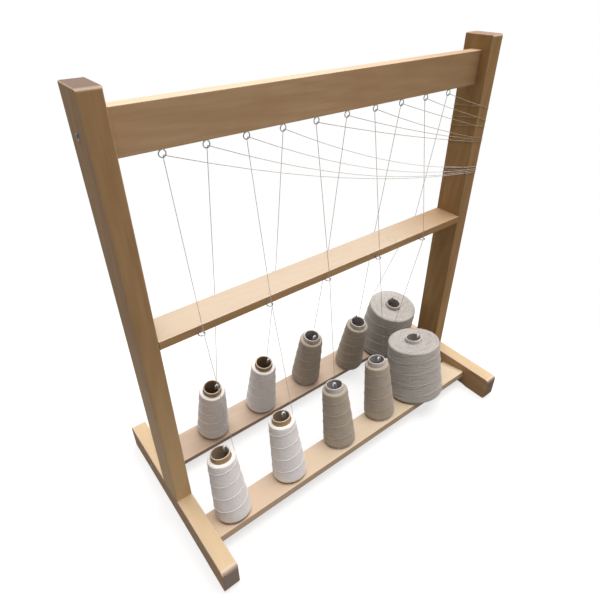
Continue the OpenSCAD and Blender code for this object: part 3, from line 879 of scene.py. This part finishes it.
@dataclass
class Studio:
    """Camera at the photograph's angle, soft lamps and a pale floor."""

    place: tuple[float, float, float] = (-0.51003, -0.58517, 0.87486)
    yaw: float = math.radians(37.4446)
    pitch: float = math.radians(34.1678)
    roll: float = math.radians(-0.2853)
    lens: float = 29.0552
    sensor: float = 36.0
    shift: tuple[float, float] = (-0.002287, -0.009647)
    floor_half: float = 4.0
    floor_z: float = -0.2 * MM
    floor_tone: str = "#7f7d7b"
    room_tone: str = "#fff8f0"
    room_level: float = 0.185
    key_power: float = 1600.0
    fill_power: float = 13.5

    def hang(self, name: str, data: bpy.types.ID, axes: Sequence[Array],
             place: Sequence[float]) -> Object:
        """Link a camera or lamp at a place, with its own X, Y and Z along three ways.

        Args:
            name: The object's name.
            data: The camera or lamp.
            axes: Its ways to the right, up and back.
            place: Where it is.

        Returns:
            The new object.
        """
        thing = bpy.data.objects.new(name, data)
        rows = [[*(way[i] for way in axes), place[i]] for i in range(3)]
        thing.matrix_world = Matrix(rows + [[0, 0, 0, 1]])
        bpy.context.scene.collection.objects.link(thing)
        return thing

    def add_camera(self) -> None:
        """Set the camera from its place, heading, dip and roll, with columns right, up and back."""
        sy, cy = math.sin(self.yaw), math.cos(self.yaw)
        sp, cp = math.sin(self.pitch), math.cos(self.pitch)
        ahead = np.array([sy * cp, cy * cp, -sp])
        right = np.array([cy, -sy, 0.0])
        up = np.cross(right, ahead)
        cr, sr = math.cos(self.roll), math.sin(self.roll)
        data = bpy.data.cameras.new("photo_camera")
        data.lens, data.sensor_width = self.lens, self.sensor
        data.shift_x, data.shift_y = self.shift
        data.clip_start, data.clip_end = 0.01, 50.0
        axes = (cr * right + sr * up, cr * up - sr * right, -ahead)
        bpy.context.scene.camera = self.hang("photo_camera", data, axes, self.place)

    def add_lamp(self, name: str, place: Sequence[float], aim: Sequence[float], size: float,
                 power: float, tone: str) -> None:
        """Hang one square soft lamp.

        Args:
            name: The lamp's name.
            place: Where it hangs.
            aim: The point that it faces.
            size: Its side.
            power: Its power in watts.
            tone: Its colour.
        """
        data = bpy.data.lights.new(name, "AREA")
        data.size, data.energy, data.color = size, power, linear(tone)[:3]
        back = unit(np.array(place) - np.array(aim))
        right = unit(np.cross([0.0, 1.0, 0.01], back))
        self.hang(name, data, (right, np.cross(back, right), back), place)

    def seen_share(self, add: Adder) -> Node:
        """Tell what is seen, with 1, from the light that falls on the object, with 0.

        Args:
            add: The function that adds a node to the floor or the room.

        Returns:
            The node that gives 1 for camera, mirror and glass rays.
        """
        path = add("LightPath").outputs
        share = path["Is Camera Ray"]
        for ray in ("Is Glossy Ray", "Is Transmission Ray"):
            share = add("Math", {0: share, 1: path[ray]}, operation="MAXIMUM")
        return share

    def light_room(self) -> None:
        """Fill the room with soft light, and show it white to the camera."""
        world = bpy.data.worlds.new("white_room")
        world.use_nodes = True
        bpy.context.scene.world = world
        world.node_tree.nodes.clear()
        add = partial(add_node, world.node_tree)
        room, white = (add("Background", {"Color": tone, "Strength": level}) for tone, level in (
            (linear(self.room_tone), self.room_level), ((1, 1, 1, 1), 1.0)))
        add("OutputWorld", {"Surface": add("MixShader", {0: self.seen_share(add), 1: room, 2: white})})
        self.add_lamp("overhead_lamp", (1.2, 0.4, 9.0), (0, 0, 0.3), 8.6, self.key_power, "#fffaf6")
        self.add_lamp("front_lamp", (1.2, -3.6, 1.3), (0, 0, 0.2), 1.4, self.fill_power, "#fff0e0")

    def lay_floor(self) -> Object:
        """Lay the pale floor, which shows nearly white and keeps the object's shadow.

        Returns:
            The floor.
        """
        name = "studio_floor"
        material, shader, add = new_material(name)
        plug(shader, {"Base Color": linear(self.floor_tone), "Roughness": 0.9,
                      "Specular IOR Level": 0.0})
        glow = add("Emission", {"Color": (1, 1, 1, 1), "Strength": 1.0})
        pale = add("BsdfDiffuse", {"Color": (0.96, 0.96, 0.96, 1)})
        away = add("VectorMath", {0: add("TexCoord").outputs["Object"]}, operation="LENGTH")
        share = add("MapRange", {"Value": away, "From Min": 0.45, "To Min": 0.72},
                    interpolation_type="SMOOTHSTEP")
        shown = add("MixShader", {0: share, 1: pale, 2: glow})
        both = add("MixShader", {0: self.seen_share(add), 1: shader, 2: shown})
        end = next(n for n in material.node_tree.nodes if n.type == "OUTPUT_MATERIAL")
        plug(end, {"Surface": both})
        side = np.linspace(-self.floor_half, self.floor_half, 2)
        x, y = np.meshgrid(side, side)
        points = np.stack([x, y, np.full_like(x, self.floor_z)], axis=-1)
        floor = make_piece(name, [grid_surface(points, x, y)], [material])
        return floor


@dataclass
class ThreadRun:
    """The threads that run from the cones through the eyes to the right post."""

    plan: StandPlan
    sides: int = 8
    steps_per_ply: int = 6
    sag_steps: int = 12
    wrap_gap: float = 0.05 * MM
    top_eye_z: float = 680 * MM
    # The way through a top eye: x and z in shares of its ring's radius, y in shares of pass_way
    pass_way: float = 2.6 * MM
    through: tuple[tuple[float, int, float], ...] = ((0.3, 1, -1.16), (0.3, 0, -0.3), (1.12, -1, -0.72))
    side_way: tuple[float, float, float] = (0.31, 0.83, -0.46)
    # Shares of the stand's height for each led thread, from the rightmost to the leftmost:
    # where it meets the post's four corners, from the inner front one round, and its sag
    route_shares: tuple[tuple[float, float, float, float, float], ...] = (
        (0.8461, 0.8331, 0.8305, 0.8357, 0.0006),
        (0.8182, 0.8021, 0.7995, 0.806, 0.0019),
        (0.7975, 0.7878, 0.784, 0.784, 0.0013),
        (0.7684, 0.7587, 0.7542, 0.7529, 0.0052),
        (0.7633, 0.7549, 0.749, 0.7477, 0.0052),
        (0.7581, 0.751, 0.7439, 0.7426, 0.0052),
        (0.6908, 0.6837, 0.6779, 0.6714, 0.022),
        (0.6837, 0.6785, 0.6714, 0.6636, 0.0285),
        (0.6792, 0.674, 0.6662, 0.6585, 0.031),
        (0.6746, 0.6695, 0.6611, 0.6533, 0.0259),
    )
    closing_drop: float = 1.6 * MM
    # How a lower thread comes out of the outermost turn: along it, into it and below its end
    lead_in: tuple[float, float, float] = (2.2 * MM, 0.2 * MM, 0.25 * MM)
    lead_bend: float = 1.6 * MM
    tones: tuple[tuple[str, str], ...] = (
        ("#e9e1da", "#b9aca2"), ("#e9e1da", "#b9aca2"), ("#cdb89f", "#8f7b66"),
        ("#cdb89f", "#8f7b66"), ("#d3c6b2", "#998b78"))

    def lay(self, name: str, route: Array, reach: float, index: int, node: str) -> Object:
        """Lay one thread, which is a cord, along a route on the stand.

        Args:
            name: The piece's name.
            route: Its points from corner to corner.
            reach: How far from a corner its rounding starts.
            index: Number of the cone that it comes from, from 0.
            node: The CAD node that it stands for.

        Returns:
            The thread.
        """
        plan = self.plan
        line = spaced(eased(route, reach), plan.ply_pitch / self.steps_per_ply)
        pale, deep = self.tones[index]
        finish = f"two_ply_thread_{pale[1:]}"
        material = (bpy.data.materials.get(finish)
                    or TwistedThread(finish, pale, deep, plan.ply_pitch).build())
        thread = sweep(line, plan.thread_r / (1 + plan.thread_lobe), self.sides,
                       np.array([self.side_way]), plan.thread_lobe, plan.ply_pitch)
        piece = settle(make_piece(name, [thread], [material]), "stand", node, "led_thread")
        float(run_of(line)[-1])
        return piece

    def make_led(self, cone: ConePlace) -> Object:
        """Make a led thread: guide eye, top eye, a sagging way across, and once round the post.

        The way across is a + (b - a) s - 4 sag s (1 - s), and the turn has the post's
        corners moved out by the thread.

        Args:
            cone: The cone that it comes from.

        Returns:
            The thread.
        """
        plan, row, index = self.plan, cone.row, cone.index
        z = plan.height * np.array(self.route_shares[2 * (CONES - 1 - index) + (row is Row.FRONT)])
        start = plan.guide_point(row, index)
        eye = np.array(self.through) * [plan.eye_r, self.pass_way, plan.eye_r]
        eye += [plan.pin_x(row, index), 0.0, self.top_eye_z]
        g = self.wrap_gap + plan.thread_r
        near, far, deep = plan.width / 2 - plan.post_t - g, plan.width / 2 + g, plan.post_d / 2 + g
        turn = np.array([[near, -deep, z[0]], [far, -deep, z[1]], [far, deep, z[2]], [near, deep, z[3]],
                         [near, plan.edge_r - deep, z[0] - self.closing_drop]])
        s = np.linspace(0, 1, self.sag_steps)[1:-1, None]
        across = eye[2] + (turn[0] - eye[2]) * s - np.array([0, 0, 4 * z[4]]) * s * (1 - s)
        first = start + plan.thread_gap * unit(eye[0] - start)
        route = np.concatenate([[first], eye, across, turn])
        return self.lay(cone.node("led_thread"), route, plan.edge_r + g, index, "led_threads")

    def make_lower(self, cone: ConePlace) -> Object:
        """Make one thread from its cone up to the guide eye.

        Args:
            cone: The cone that it comes from.

        Returns:
            The thread.
        """
        off = cone.off_point()
        along, into, below = self.lead_in
        off_r = math.hypot(off[0], off[1])
        angle = math.atan2(off[1], off[0]) - along / off_r
        start = round_z(off_r - into, angle, off[2] - below)
        ends = cone.to_world(np.stack([start, off]))
        guide = self.plan.guide_point(cone.row, cone.index)
        piece = self.lay(cone.node("lower_thread"), np.stack([*ends, guide]), self.lead_bend,
                         cone.index, cone.node("thread"))
        lift = LIFTS[f"{cone.body}_lift"]
        axis = unit(np.array(lift["axis"], float))
        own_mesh(piece)
        return piece


@dataclass
class WoodFrame:
    """Posts, feet, boards and shelves: CAD solids that get their wood."""

    end_y: float = 195 * MM
    top_z: float = 773 * MM
    foot_round: float = 11 * MM
    # The middle board's stain and knot, and painted shade that browns its right end
    stains: tuple[Mark, ...] = (
        Mark((154 * MM, -15 * MM, 424.5 * MM), 9 * MM, 1.3 * MM, "#8f6c56", 0.32),
        Mark((133.8 * MM, -11.6 * MM, 424.5 * MM), 0.0, 1.6 * MM, "#5d4030", 0.75),
        # Painted shade: the right end is browned where less light falls
        Mark((400 * MM, 0.0, 424.5 * MM), 0.0, 300 * MM, "#a2784c", 0.75))
    # Broad patches of painted light and shade: painted light on the left post's foot and the
    # front shelf's left end, painted shade on the top board's right
    # Painted light: the lower left post is paled
    foot_glow: tuple[Mark, ...] = (Mark((-361 * MM, -30 * MM, 60 * MM), 0.0, 420 * MM, "#d4b78e", 0.85),)
    # Painted light: the front shelf's left end is paled and pinked
    pink_end: tuple[Mark, ...] = (Mark((-330 * MM, -125 * MM, 45 * MM), 0.0, 420 * MM, "#ccb39f", 0.6),)
    # Painted shade: the top board's right part is darkened
    heart: tuple[Mark, ...] = (Mark((380 * MM, 0.0, 715 * MM), 0.0, 420 * MM, "#8c6c45", 0.5),)
    # Two small knocks in the left foot's front end
    dents: tuple[Mark, ...] = (
        Mark((-370.6 * MM, -194.5 * MM, 51.3 * MM), 0.0, 2.4 * MM, "#42362e", 0.9),
        Mark((-370.6 * MM, -191.7 * MM, 55.9 * MM), 0.0, 1.6 * MM, "#4a3e36", 0.8))

    def dress(self) -> None:
        """Give each wooden node its own cut of birch."""
        post = {"grain": Grain.UPRIGHT, "end": self.top_z}
        foot = {"grain": Grain.DEEP, "end": self.end_y, "end_run": self.foot_round}
        board = {"grain": Grain.ACROSS}
        # Some cuts set their own tone and share of the painted sheen on faces that look up, and the left
        # foot its own painted edge highlight
        cuts = {
            "left_post": {**post, "seed": 1.37, "marks": self.foot_glow, "pale": "#bb9b73",
                          "mid": "#af8d64", "deep": "#98774f", "end_tone": "#6e5c55"},
            "right_post": {**post, "seed": 2.91, "pale": "#b49165", "mid": "#a48256", "deep": "#8a6b40",
                           "end_tone": "#93786a"},
            "left_foot": {**foot, "seed": 4.13, "marks": self.dents, "end_tone": "#958983",
                          "rubbed": "#e2cfc2"},
            "right_foot": {**foot, "seed": 5.71, "end_tone": "#75645c"},
            "top_board": {**board, "seed": 7.77, "marks": self.heart, "pale": "#cdae8b",
                          "mid": "#c2a27e", "deep": "#ac8a65", "bleached": "#dccabb"},
            "middle_board": {**board, "seed": 9.05, "marks": self.stains, "bleached": "#cac4b8",
                             "bleach": 0.62},
            "front_shelf": {**board, "seed": 11.29, "marks": self.pink_end, "pale": "#bca78e",
                            "mid": "#b09a80", "deep": "#9e8568", "blush": "#b8987f",
                            "bleached": "#dccfb9", "bleach": 0.6},
            "rear_shelf": {**board, "seed": 12.83, "pale": "#bca693", "mid": "#b09988",
                           "deep": "#9e8671", "blush": "#ba9484", "bleached": "#c8baa8"},
        }
        for name, cut in cuts.items():
            dress_node(name, LacqueredBirch(f"birch_{name}", **cut).build())
        dress_node("dowels", LacqueredBirch("bare_beech_dowels", Grain.ACROSS, 14.41, pale="#c9a680",
                                            mid="#bd9770", deep="#a37c56").build())


@dataclass
class SteelWork:
    """Bolts and barrel nuts from CAD, and finer screw eyes and pins of bent wire."""

    plan: StandPlan
    eye_wire_r: float = 0.8 * MM
    eye_gap: float = math.radians(24)
    eye_root: float = 1.5 * MM
    neck: float = 1.6 * MM
    eye_step: float = 0.35 * MM
    eye_tip: float = 0.5 * MM
    eye_sides: int = 12
    ring_steps: int = 60
    # The screw thread that shows at the wood: its pitch, its run out of it and its height
    screw_pitch: float = 0.9 * MM
    screw_run: float = 1.4 * MM
    screw_share: float = 0.16
    pin_r: float = 1.75 * MM
    pin_h: float = 154 * MM
    crook_r: float = 2.75 * MM
    crook_leg: float = 8 * MM
    pin_root: float = 1 * MM
    pin_step: float = 0.7 * MM
    pin_tip: float = 0.6 * MM
    pin_sides: int = 16
    crook_steps: int = 14

    def dress(self) -> None:
        """Give the bolts and barrel nuts bright zinc."""
        zinc = DrawnSteel("zinc_plated_steel", "#8a8884", "#4f4d4a", 0.34, 0.55).build()
        for name in ("frame_bolts", "post_bolts", "barrel_nuts"):
            dress_node(name, zinc)

    def tip(self, run: Array, length: float, blunt: float) -> Array:
        """Round off a wire's last bit: its radius times sqrt(1 - blunt (1 - left / length)^2).

        Args:
            run: Distance along the wire at each point.
            length: Length of the rounded bit.
            blunt: How far the end closes.

        Returns:
            The share at each point.
        """
        left = np.clip((run[-1] - run) / length, 0.0, 1.0)
        return np.sqrt(1 - blunt * (1 - left) ** 2)

    def eye(self, root: Array, out: Array, side: Array) -> Surface:
        """Bend one screw eye: a stem, a neck, and a ring c - r cos f out + r sin f side.

        Args:
            root: Where the stem leaves the wood.
            out: The way out of the wood.
            side: The way in which the ring starts.

        Returns:
            The wire's surface.
        """
        plan, r = self.plan, self.plan.eye_r
        centre = root + (plan.eye_stem + r) * out
        turn = np.linspace(0.0, TAU - self.eye_gap, self.ring_steps)[:, None]
        ring = centre - r * np.cos(turn) * out + r * np.sin(turn) * side
        bent = np.concatenate([[root - self.eye_root * out], ring])
        line = spaced(eased(bent, self.neck), self.eye_step)
        run = run_of(line)
        screwed = run < self.eye_root + self.screw_run
        screw = 1 + self.screw_share * np.sin(TAU * run / self.screw_pitch) * screwed
        size = self.eye_wire_r * screw * self.tip(run, self.eye_tip, 0.75)
        return sweep(line, size, self.eye_sides, np.cross(out, side)[None])

    def make_eyes(self, name: str, roots: Sequence[Array], out: Array, side: Array,
                  material: Material) -> Object:
        """Make a row of screw eyes that stands for their CAD node.

        Args:
            name: The CAD node's name.
            roots: Where each stem leaves the wood.
            out: The way out of the wood.
            side: The way in which the rings start.
            material: The wire's finish.

        Returns:
            The eyes.
        """
        wires = [self.eye(root, out, side) for root in roots]
        return settle(make_piece(f"{name}_wire", wires, [material]), "stand", name, "eye_steel")

    def pin_line(self, row: Row, index: int) -> Array:
        """Follow one pin: up from the shelf, over a half turn towards -X and down its short leg.

        Args:
            row: The shelf's row.
            index: The pin's number from the left, from 0.

        Returns:
            The line's points in the row frame.
        """
        bend_z = self.pin_h - self.crook_r - self.pin_r
        turn = np.linspace(0, math.pi, self.crook_steps)
        crook = np.stack([self.crook_r * (np.cos(turn) - 1), 0 * turn,
                          bend_z + self.crook_r * np.sin(turn)], axis=1)
        line = np.concatenate([[[0, 0, -self.pin_root]], crook,
                               [[-2 * self.crook_r, 0, bend_z - self.crook_leg]]])
        line[:, 0] += self.plan.pin_x(row, index)
        return self.plan.on_shelf(row, line)

    def make_pins(self, row: Row, material: Material) -> Object:
        """Make one shelf's pins, which stand for their CAD node.

        Args:
            row: The shelf's row.
            material: The wire's finish.

        Returns:
            The pins.
        """
        foot, beside = self.plan.on_shelf(row, np.array([[0.0, 0.0, 0.0], [0.0, 1.0, 0.0]]))
        across = beside - foot
        wires = []
        for index in range(CONES):
            line = spaced(self.pin_line(row, index), self.pin_step)
            size = self.pin_r * self.tip(run_of(line), self.pin_tip, 0.5)
            wires.append(sweep(line, size, self.pin_sides, across[None]))
        name = f"{row.word}_pins"
        return settle(make_piece(f"{name}_wire", wires, [material]), "stand", name, "pin_steel")

    def make(self) -> list[Object]:
        """Make all screw eyes and pins.

        Returns:
            The new pieces.
        """
        plan = self.plan
        wire = DrawnSteel("drawn_eye_wire", "#9a9ca2", "#5d5f66", 0.25, 0.42).build()
        rod = DrawnSteel("drawn_pin_wire", "#cfd2d7", "#a2a5ab", 0.38, 0.55).build()
        x, y, z = np.eye(3)
        pieces = []
        for row in Row:
            edge_y = row.value * plan.mid_w / 2
            roots = [np.array([plan.pin_x(row, i), edge_y, plan.guide_z]) for i in range(CONES)]
            name = f"{row.word}_guide_eyes"
            pieces.append(self.make_eyes(name, roots, row.value * y, row.value * x, wire))
        roots = [np.array([plan.pin_x(row, i), 0.0, plan.top_face_z])
                 for row in Row for i in range(CONES)]
        pieces.append(self.make_eyes("top_eyes", roots, -z, -x, wire))
        return pieces + [self.make_pins(row, rod) for row in Row]


@dataclass
class ConeTubes:
    """The cones' rolled paper tubes, with a lengthwise lap, a torn pale rim and a dark bore."""

    lap: float = 0.35 * MM
    inner_lap: float = 0.6
    cols: int = 96

    def skin(self) -> list[Surface]:
        """Turn the tube's skin: outer wall, round rim, bore and foot, each lapped at one seam.

        The lap adds lap * share to the radius, where share falls from 1 to 0 round the tube.

        Returns:
            Surfaces with finish 0 outside, 1 on the rim and 2 inside.
        """
        r = TUBE.wall / 2
        z = np.linspace(0, TUBE.height - r, 40)
        outer = np.stack([TUBE.radius(z), z], axis=1)
        turn = np.linspace(0, math.pi, 9)
        rim = np.stack([TUBE.rim_r - r + r * np.cos(turn), TUBE.height - r + r * np.sin(turn)], axis=1)
        rim[0], inner = outer[-1], outer[::-1] - [TUBE.wall, 0]
        rim[-1] = inner[0]
        foot = np.stack([inner[-1], outer[0]])
        angle = np.linspace(0, TAU, self.cols + 1)[None, :]
        share = np.linspace(1, 0, self.cols + 1)[None, :] ** 6
        surfaces = []
        for finish, part in ((0, outer), (1, rim), (2, inner), (2, foot)):
            radius = part[:, :1] + self.lap * share * (self.inner_lap if finish else 1.0)
            points = round_z(radius, angle, part[:, 1:])
            surfaces.append(grid_surface(points, share, run_of(part)[:, None], finish))
        return surfaces


@dataclass
class YarnPackages:
    """The wound yarn on each cone: a crossed body, half-sunk turns, and the outermost turns."""

    plan: StandPlan
    room: float = 0.1 * MM
    swell: float = 0.07 * MM
    hug: float = 0.12 * MM
    # Two families of windings: distance up the profile, number round it and way of bend
    windings: tuple[tuple[float, int, int], ...] = ((4.1 * MM, 7, 1), (5.6 * MM, -5, -1))
    # Slow waves in the windings' phase and in the skin: height, number round and turn per metre
    drifts: tuple[tuple[float, int, int], ...] = ((1.1, 2, 40), (0.8, 3, -55))
    lumps: tuple[tuple[float, int, int], ...] = ((0.07 * MM, 1, 60), (0.05 * MM, 4, 130))
    calm: float = 6 * MM
    bore_run: float = 0.12
    face_step: float = 1.3 * MM
    sunk_turns: int = 3
    sunk_steps: int = 110
    sunk_from: float = 4 * MM
    sunk_short: float = 10 * MM
    sunk_wave: float = 0.5 * MM
    sunk_depth: float = 0.12 * MM
    sunk_r: float = 0.42 * MM
    sunk_sides: int = 6
    sunk_lobe: float = 0.1
    turn_steps: int = 72
    turn_step: float = 1 * MM
    turn_sides: int = 8

    def profile(self, shape: Package) -> Array:
        """Draw a package's profile: out under the foot, up the flank, over the nose and in.

        Where the foot's rounding meets the tube, it starts there, at the angle
        taper - acos(reach / round) below the horizontal.

        Args:
            shape: The package's shape.

        Returns:
            Radii and heights, rows by 2, from the tube's foot edge to its top edge.
        """
        foot_r, nose_r = shape.foot_round, shape.nose_round
        foot_z = shape.foot + foot_r
        foot_c, nose_c = shape.radius(foot_z) - foot_r, shape.high_r - nose_r
        taper = TUBE.taper
        reach = (TUBE.base_r + self.room - foot_c) * math.cos(taper) - foot_z * math.sin(taper)
        start = max(-math.pi / 2, taper - math.acos(max(-1.0, reach / foot_r)))
        low, high = np.linspace(start, 0, 10), np.linspace(0, math.pi / 2, 7)
        foot = np.stack([foot_c + foot_r * np.cos(low), foot_z + foot_r * np.sin(low)], axis=1)
        rise = np.linspace(foot_z, shape.high, shape.rows)[1:-1]
        flank = np.stack([shape.radius(rise), rise], axis=1)
        nose = np.stack([nose_c + nose_r * np.cos(high), shape.high + nose_r * np.sin(high)], axis=1)
        top_in = TUBE.radius(shape.top) + self.room
        face = np.linspace(nose_c, top_in, max(4, int((nose_c - top_in) / self.face_step)))[1:]
        parts = [foot, flank, nose, np.stack([face, np.full(len(face), shape.top)], axis=1)]
        if foot_c > TUBE.base_r:
            under = np.linspace(TUBE.radius(shape.foot) + self.room, foot_c, 14)[:-1]
            parts.insert(0, np.stack([under, np.full(len(under), shape.foot)], axis=1))
        return np.concatenate(parts)

    def body(self, cone: ConePlace, rng: np.random.Generator) -> Surface:
        """Skin a package: its profile, moved out by crossed windings and a slow unevenness.

        With s the way up the profile and a the angle, the two families of windings are
        sin(2 pi s / wave + count a + bend), with a wave and a count round of their own.

        Args:
            cone: The cone's place.
            rng: Seeded source of the unevenness.

        Returns:
            The closed surface in the cone's frame.
        """
        shape = cone.package
        line = self.profile(shape)
        way = unit(np.gradient(line, axis=0))
        out = np.stack([way[:, 1], -way[:, 0]], axis=1)
        s = run_of(line)[:, None]
        a = np.linspace(0, TAU, shape.cols + 1)[None, :]
        starts = rng.uniform(0, TAU, 4) * [1, 1, 1, -1]
        bend, uneven = (
            sum(size * np.sin(count * a + start + climb * s) for (size, count, climb), start in pairs)
            for pairs in (zip(self.drifts, starts[:2]), zip(self.lumps, starts[2:])))
        waves = [np.sin(TAU * s / wave + count * a + sign * bend)
                 for wave, count, sign in self.windings]
        window = np.clip(np.minimum(s, s[-1] - s) / self.calm, 0, 1)
        rise = window * (self.swell * np.maximum(*waves) + uneven + self.hug)
        radius = line[:, :1] + rise * out[:, :1]
        height = line[:, 1:] + rise * out[:, 1:]
        radius = np.concatenate([radius, np.full_like(a, line[0, 0])])
        height = np.concatenate([height, np.full_like(a, line[0, 1])])
        s = np.concatenate([s, s[-1:] + self.bore_run])
        return grid_surface(round_z(radius, a, height), a / TAU, s)

    def sunk(self, cone: ConePlace, rng: np.random.Generator) -> Surface:
        """Wind turns that fall the other way round and lie half sunk in the body.

        Args:
            cone: The cone's place.
            rng: Seeded source of where they start.

        Returns:
            The turns' surface in the cone's frame.
        """
        shape = cone.package
        share = np.linspace(0, 1, self.sunk_turns * self.sunk_steps)
        height = shape.high - self.sunk_from - (shape.high - shape.low - self.sunk_short) * share
        height = height + self.sunk_wave * np.sin(5 * TAU * share)
        angle = rng.uniform(0, TAU) + TAU * self.sunk_turns * share
        radius = shape.radius(height) - self.sunk_depth
        line, out = round_z(radius, angle, height), round_z(1.0, angle, 0.0)
        return sweep(line, self.sunk_r, self.sunk_sides, out, self.sunk_lobe, self.plan.ply_pitch, 1)

    def outer(self, cone: ConePlace) -> Surface:
        """Wind the outermost turns up to where the thread leaves the cone.

        Args:
            cone: The cone's place.

        Returns:
            The turns' surface in the cone's frame.
        """
        plan = self.plan
        # The last point stays a hair inside where the free thread begins
        last = cone.off_point() * [0.999, 0.999, 1]
        line = spaced(np.concatenate([cone.turn_line(self.turn_steps), [last]]), self.turn_step)
        return sweep(line, plan.thread_r / (1 + plan.thread_lobe), self.turn_sides, line * [1, 1, 0],
                     plan.thread_lobe, plan.ply_pitch)


@dataclass
class Cones:
    """Ten cones of thread: each a tube, a package and its outermost turns on one body."""

    plan: StandPlan
    tube: ConeTubes = field(default_factory=ConeTubes)
    seed: int = 2361

    def finishes(self) -> dict[str, Material]:
        """Make the yarn and board finishes.

        Returns:
            The materials by name.
        """
        kinds = (
            WoundYarn("wound_white_cotton", "#f8f7f9", "#e2e0e2", groove_share=0.12),
            WoundYarn("white_cotton_ply", "#f0eef0", "#dedcde", groove_share=0.0),
            WoundYarn("wound_beige_linen", "#bcb2a4", "#a2988b", slub_tone="#857868", slub_share=0.3),
            WoundYarn("beige_linen_ply", "#c8beb0", "#aea496", slub_tone="#857868", slub_share=0.15,
                      groove_share=0.0),
            WoundYarn("wound_grey_linen", "#cbc8c5", "#a8a5a1", bands=((15 * MM, 4), (21 * MM, -4)),
                      slub=3 * MM, slub_tone="#827d77", slub_share=0.9, groove_share=0.45),
            WoundYarn("grey_linen_ply", "#cfcbc6", "#b6b2ad", slub_tone="#8d877f", slub_share=0.15,
                      groove_share=0.0),
            TubeBoard("brown_tube_board", "#ad946f", "#927a58"),
            TubeBoard("torn_board_rim", "#d6ccbe", "#b9ab98"),
            TubeBoard("brown_bore_board", "#b5a28a", "#978570"),
            TubeBoard("grey_tube_board", "#cbc4c1", "#b3aca9"),
            TubeBoard("torn_grey_rim", "#dfdbd9", "#c3beba"),
            TubeBoard("grey_bore_board", "#c4bfbd", "#a8a3a1"),
        )
        return {kind.name: kind.build() for kind in kinds}

    def make(self) -> list[Object]:
        """Make every cone's pieces.

        Returns:
            The new pieces.
        """
        made = self.finishes()
        yarns = ("white_cotton", "white_cotton", "beige_linen", "beige_linen", "grey_linen")
        boards = (("brown_tube_board", "torn_board_rim", "brown_bore_board", "brown_cardboard"),) * 2 + (
            ("grey_tube_board", "torn_grey_rim", "grey_bore_board", "grey_paperboard"),) * 3
        packages = YarnPackages(self.plan)
        pieces = []
        for row in Row:
            for index in range(CONES):
                cone = ConePlace(self.plan, row, index)
                rng = np.random.default_rng(self.seed + 10 * index + row.value)
                yarn = yarns[index]
                main, ply = made[f"wound_{yarn}"], made[f"{yarn}_ply"]
                *board, board_slot = boards[index]
                wound = [packages.body(cone, rng), packages.sunk(cone, rng)]
                paper = [made[name] for name in board]
                for word, part, surfaces, materials, slot in (
                        ("paper_tube", "tube", self.tube.skin(), paper, board_slot),
                        ("package", "yarn", wound, [main, ply], yarn),
                        ("outer_turns", "turns", [packages.outer(cone)], [ply], yarn)):
                    for surface in surfaces:
                        surface.points = cone.to_world(surface.points)
                    piece = make_piece(f"{cone.name}_{word}", surfaces, materials)
                    pieces.append(settle(piece, cone.body, cone.node(part), slot))
        return pieces


def main() -> None:
    """Build the scene: camera, threads, the stand, its steel, the cones and the studio."""
    logging.basicConfig(level=logging.INFO, format="%(name)s: %(message)s")
    bpy.context.scene.view_settings.view_transform = "Standard"
    plan = StandPlan()
    studio = Studio()
    studio.add_camera()
    threads = ThreadRun(plan)
    for row in Row:
        for index in range(CONES):
            cone = ConePlace(plan, row, index)
            report(threads.make_led(cone))
            report(threads.make_lower(cone))
    WoodFrame().dress()
    steel = SteelWork(plan)
    steel.dress()
    for piece in steel.make() + Cones(plan).make():
        report(piece)
    studio.light_room()
    studio.lay_floor()


def write_sizes() -> None:
    """Update the view layer."""
    bpy.context.view_layer.update()


if __name__ == "__main__":
    main()
    write_sizes()
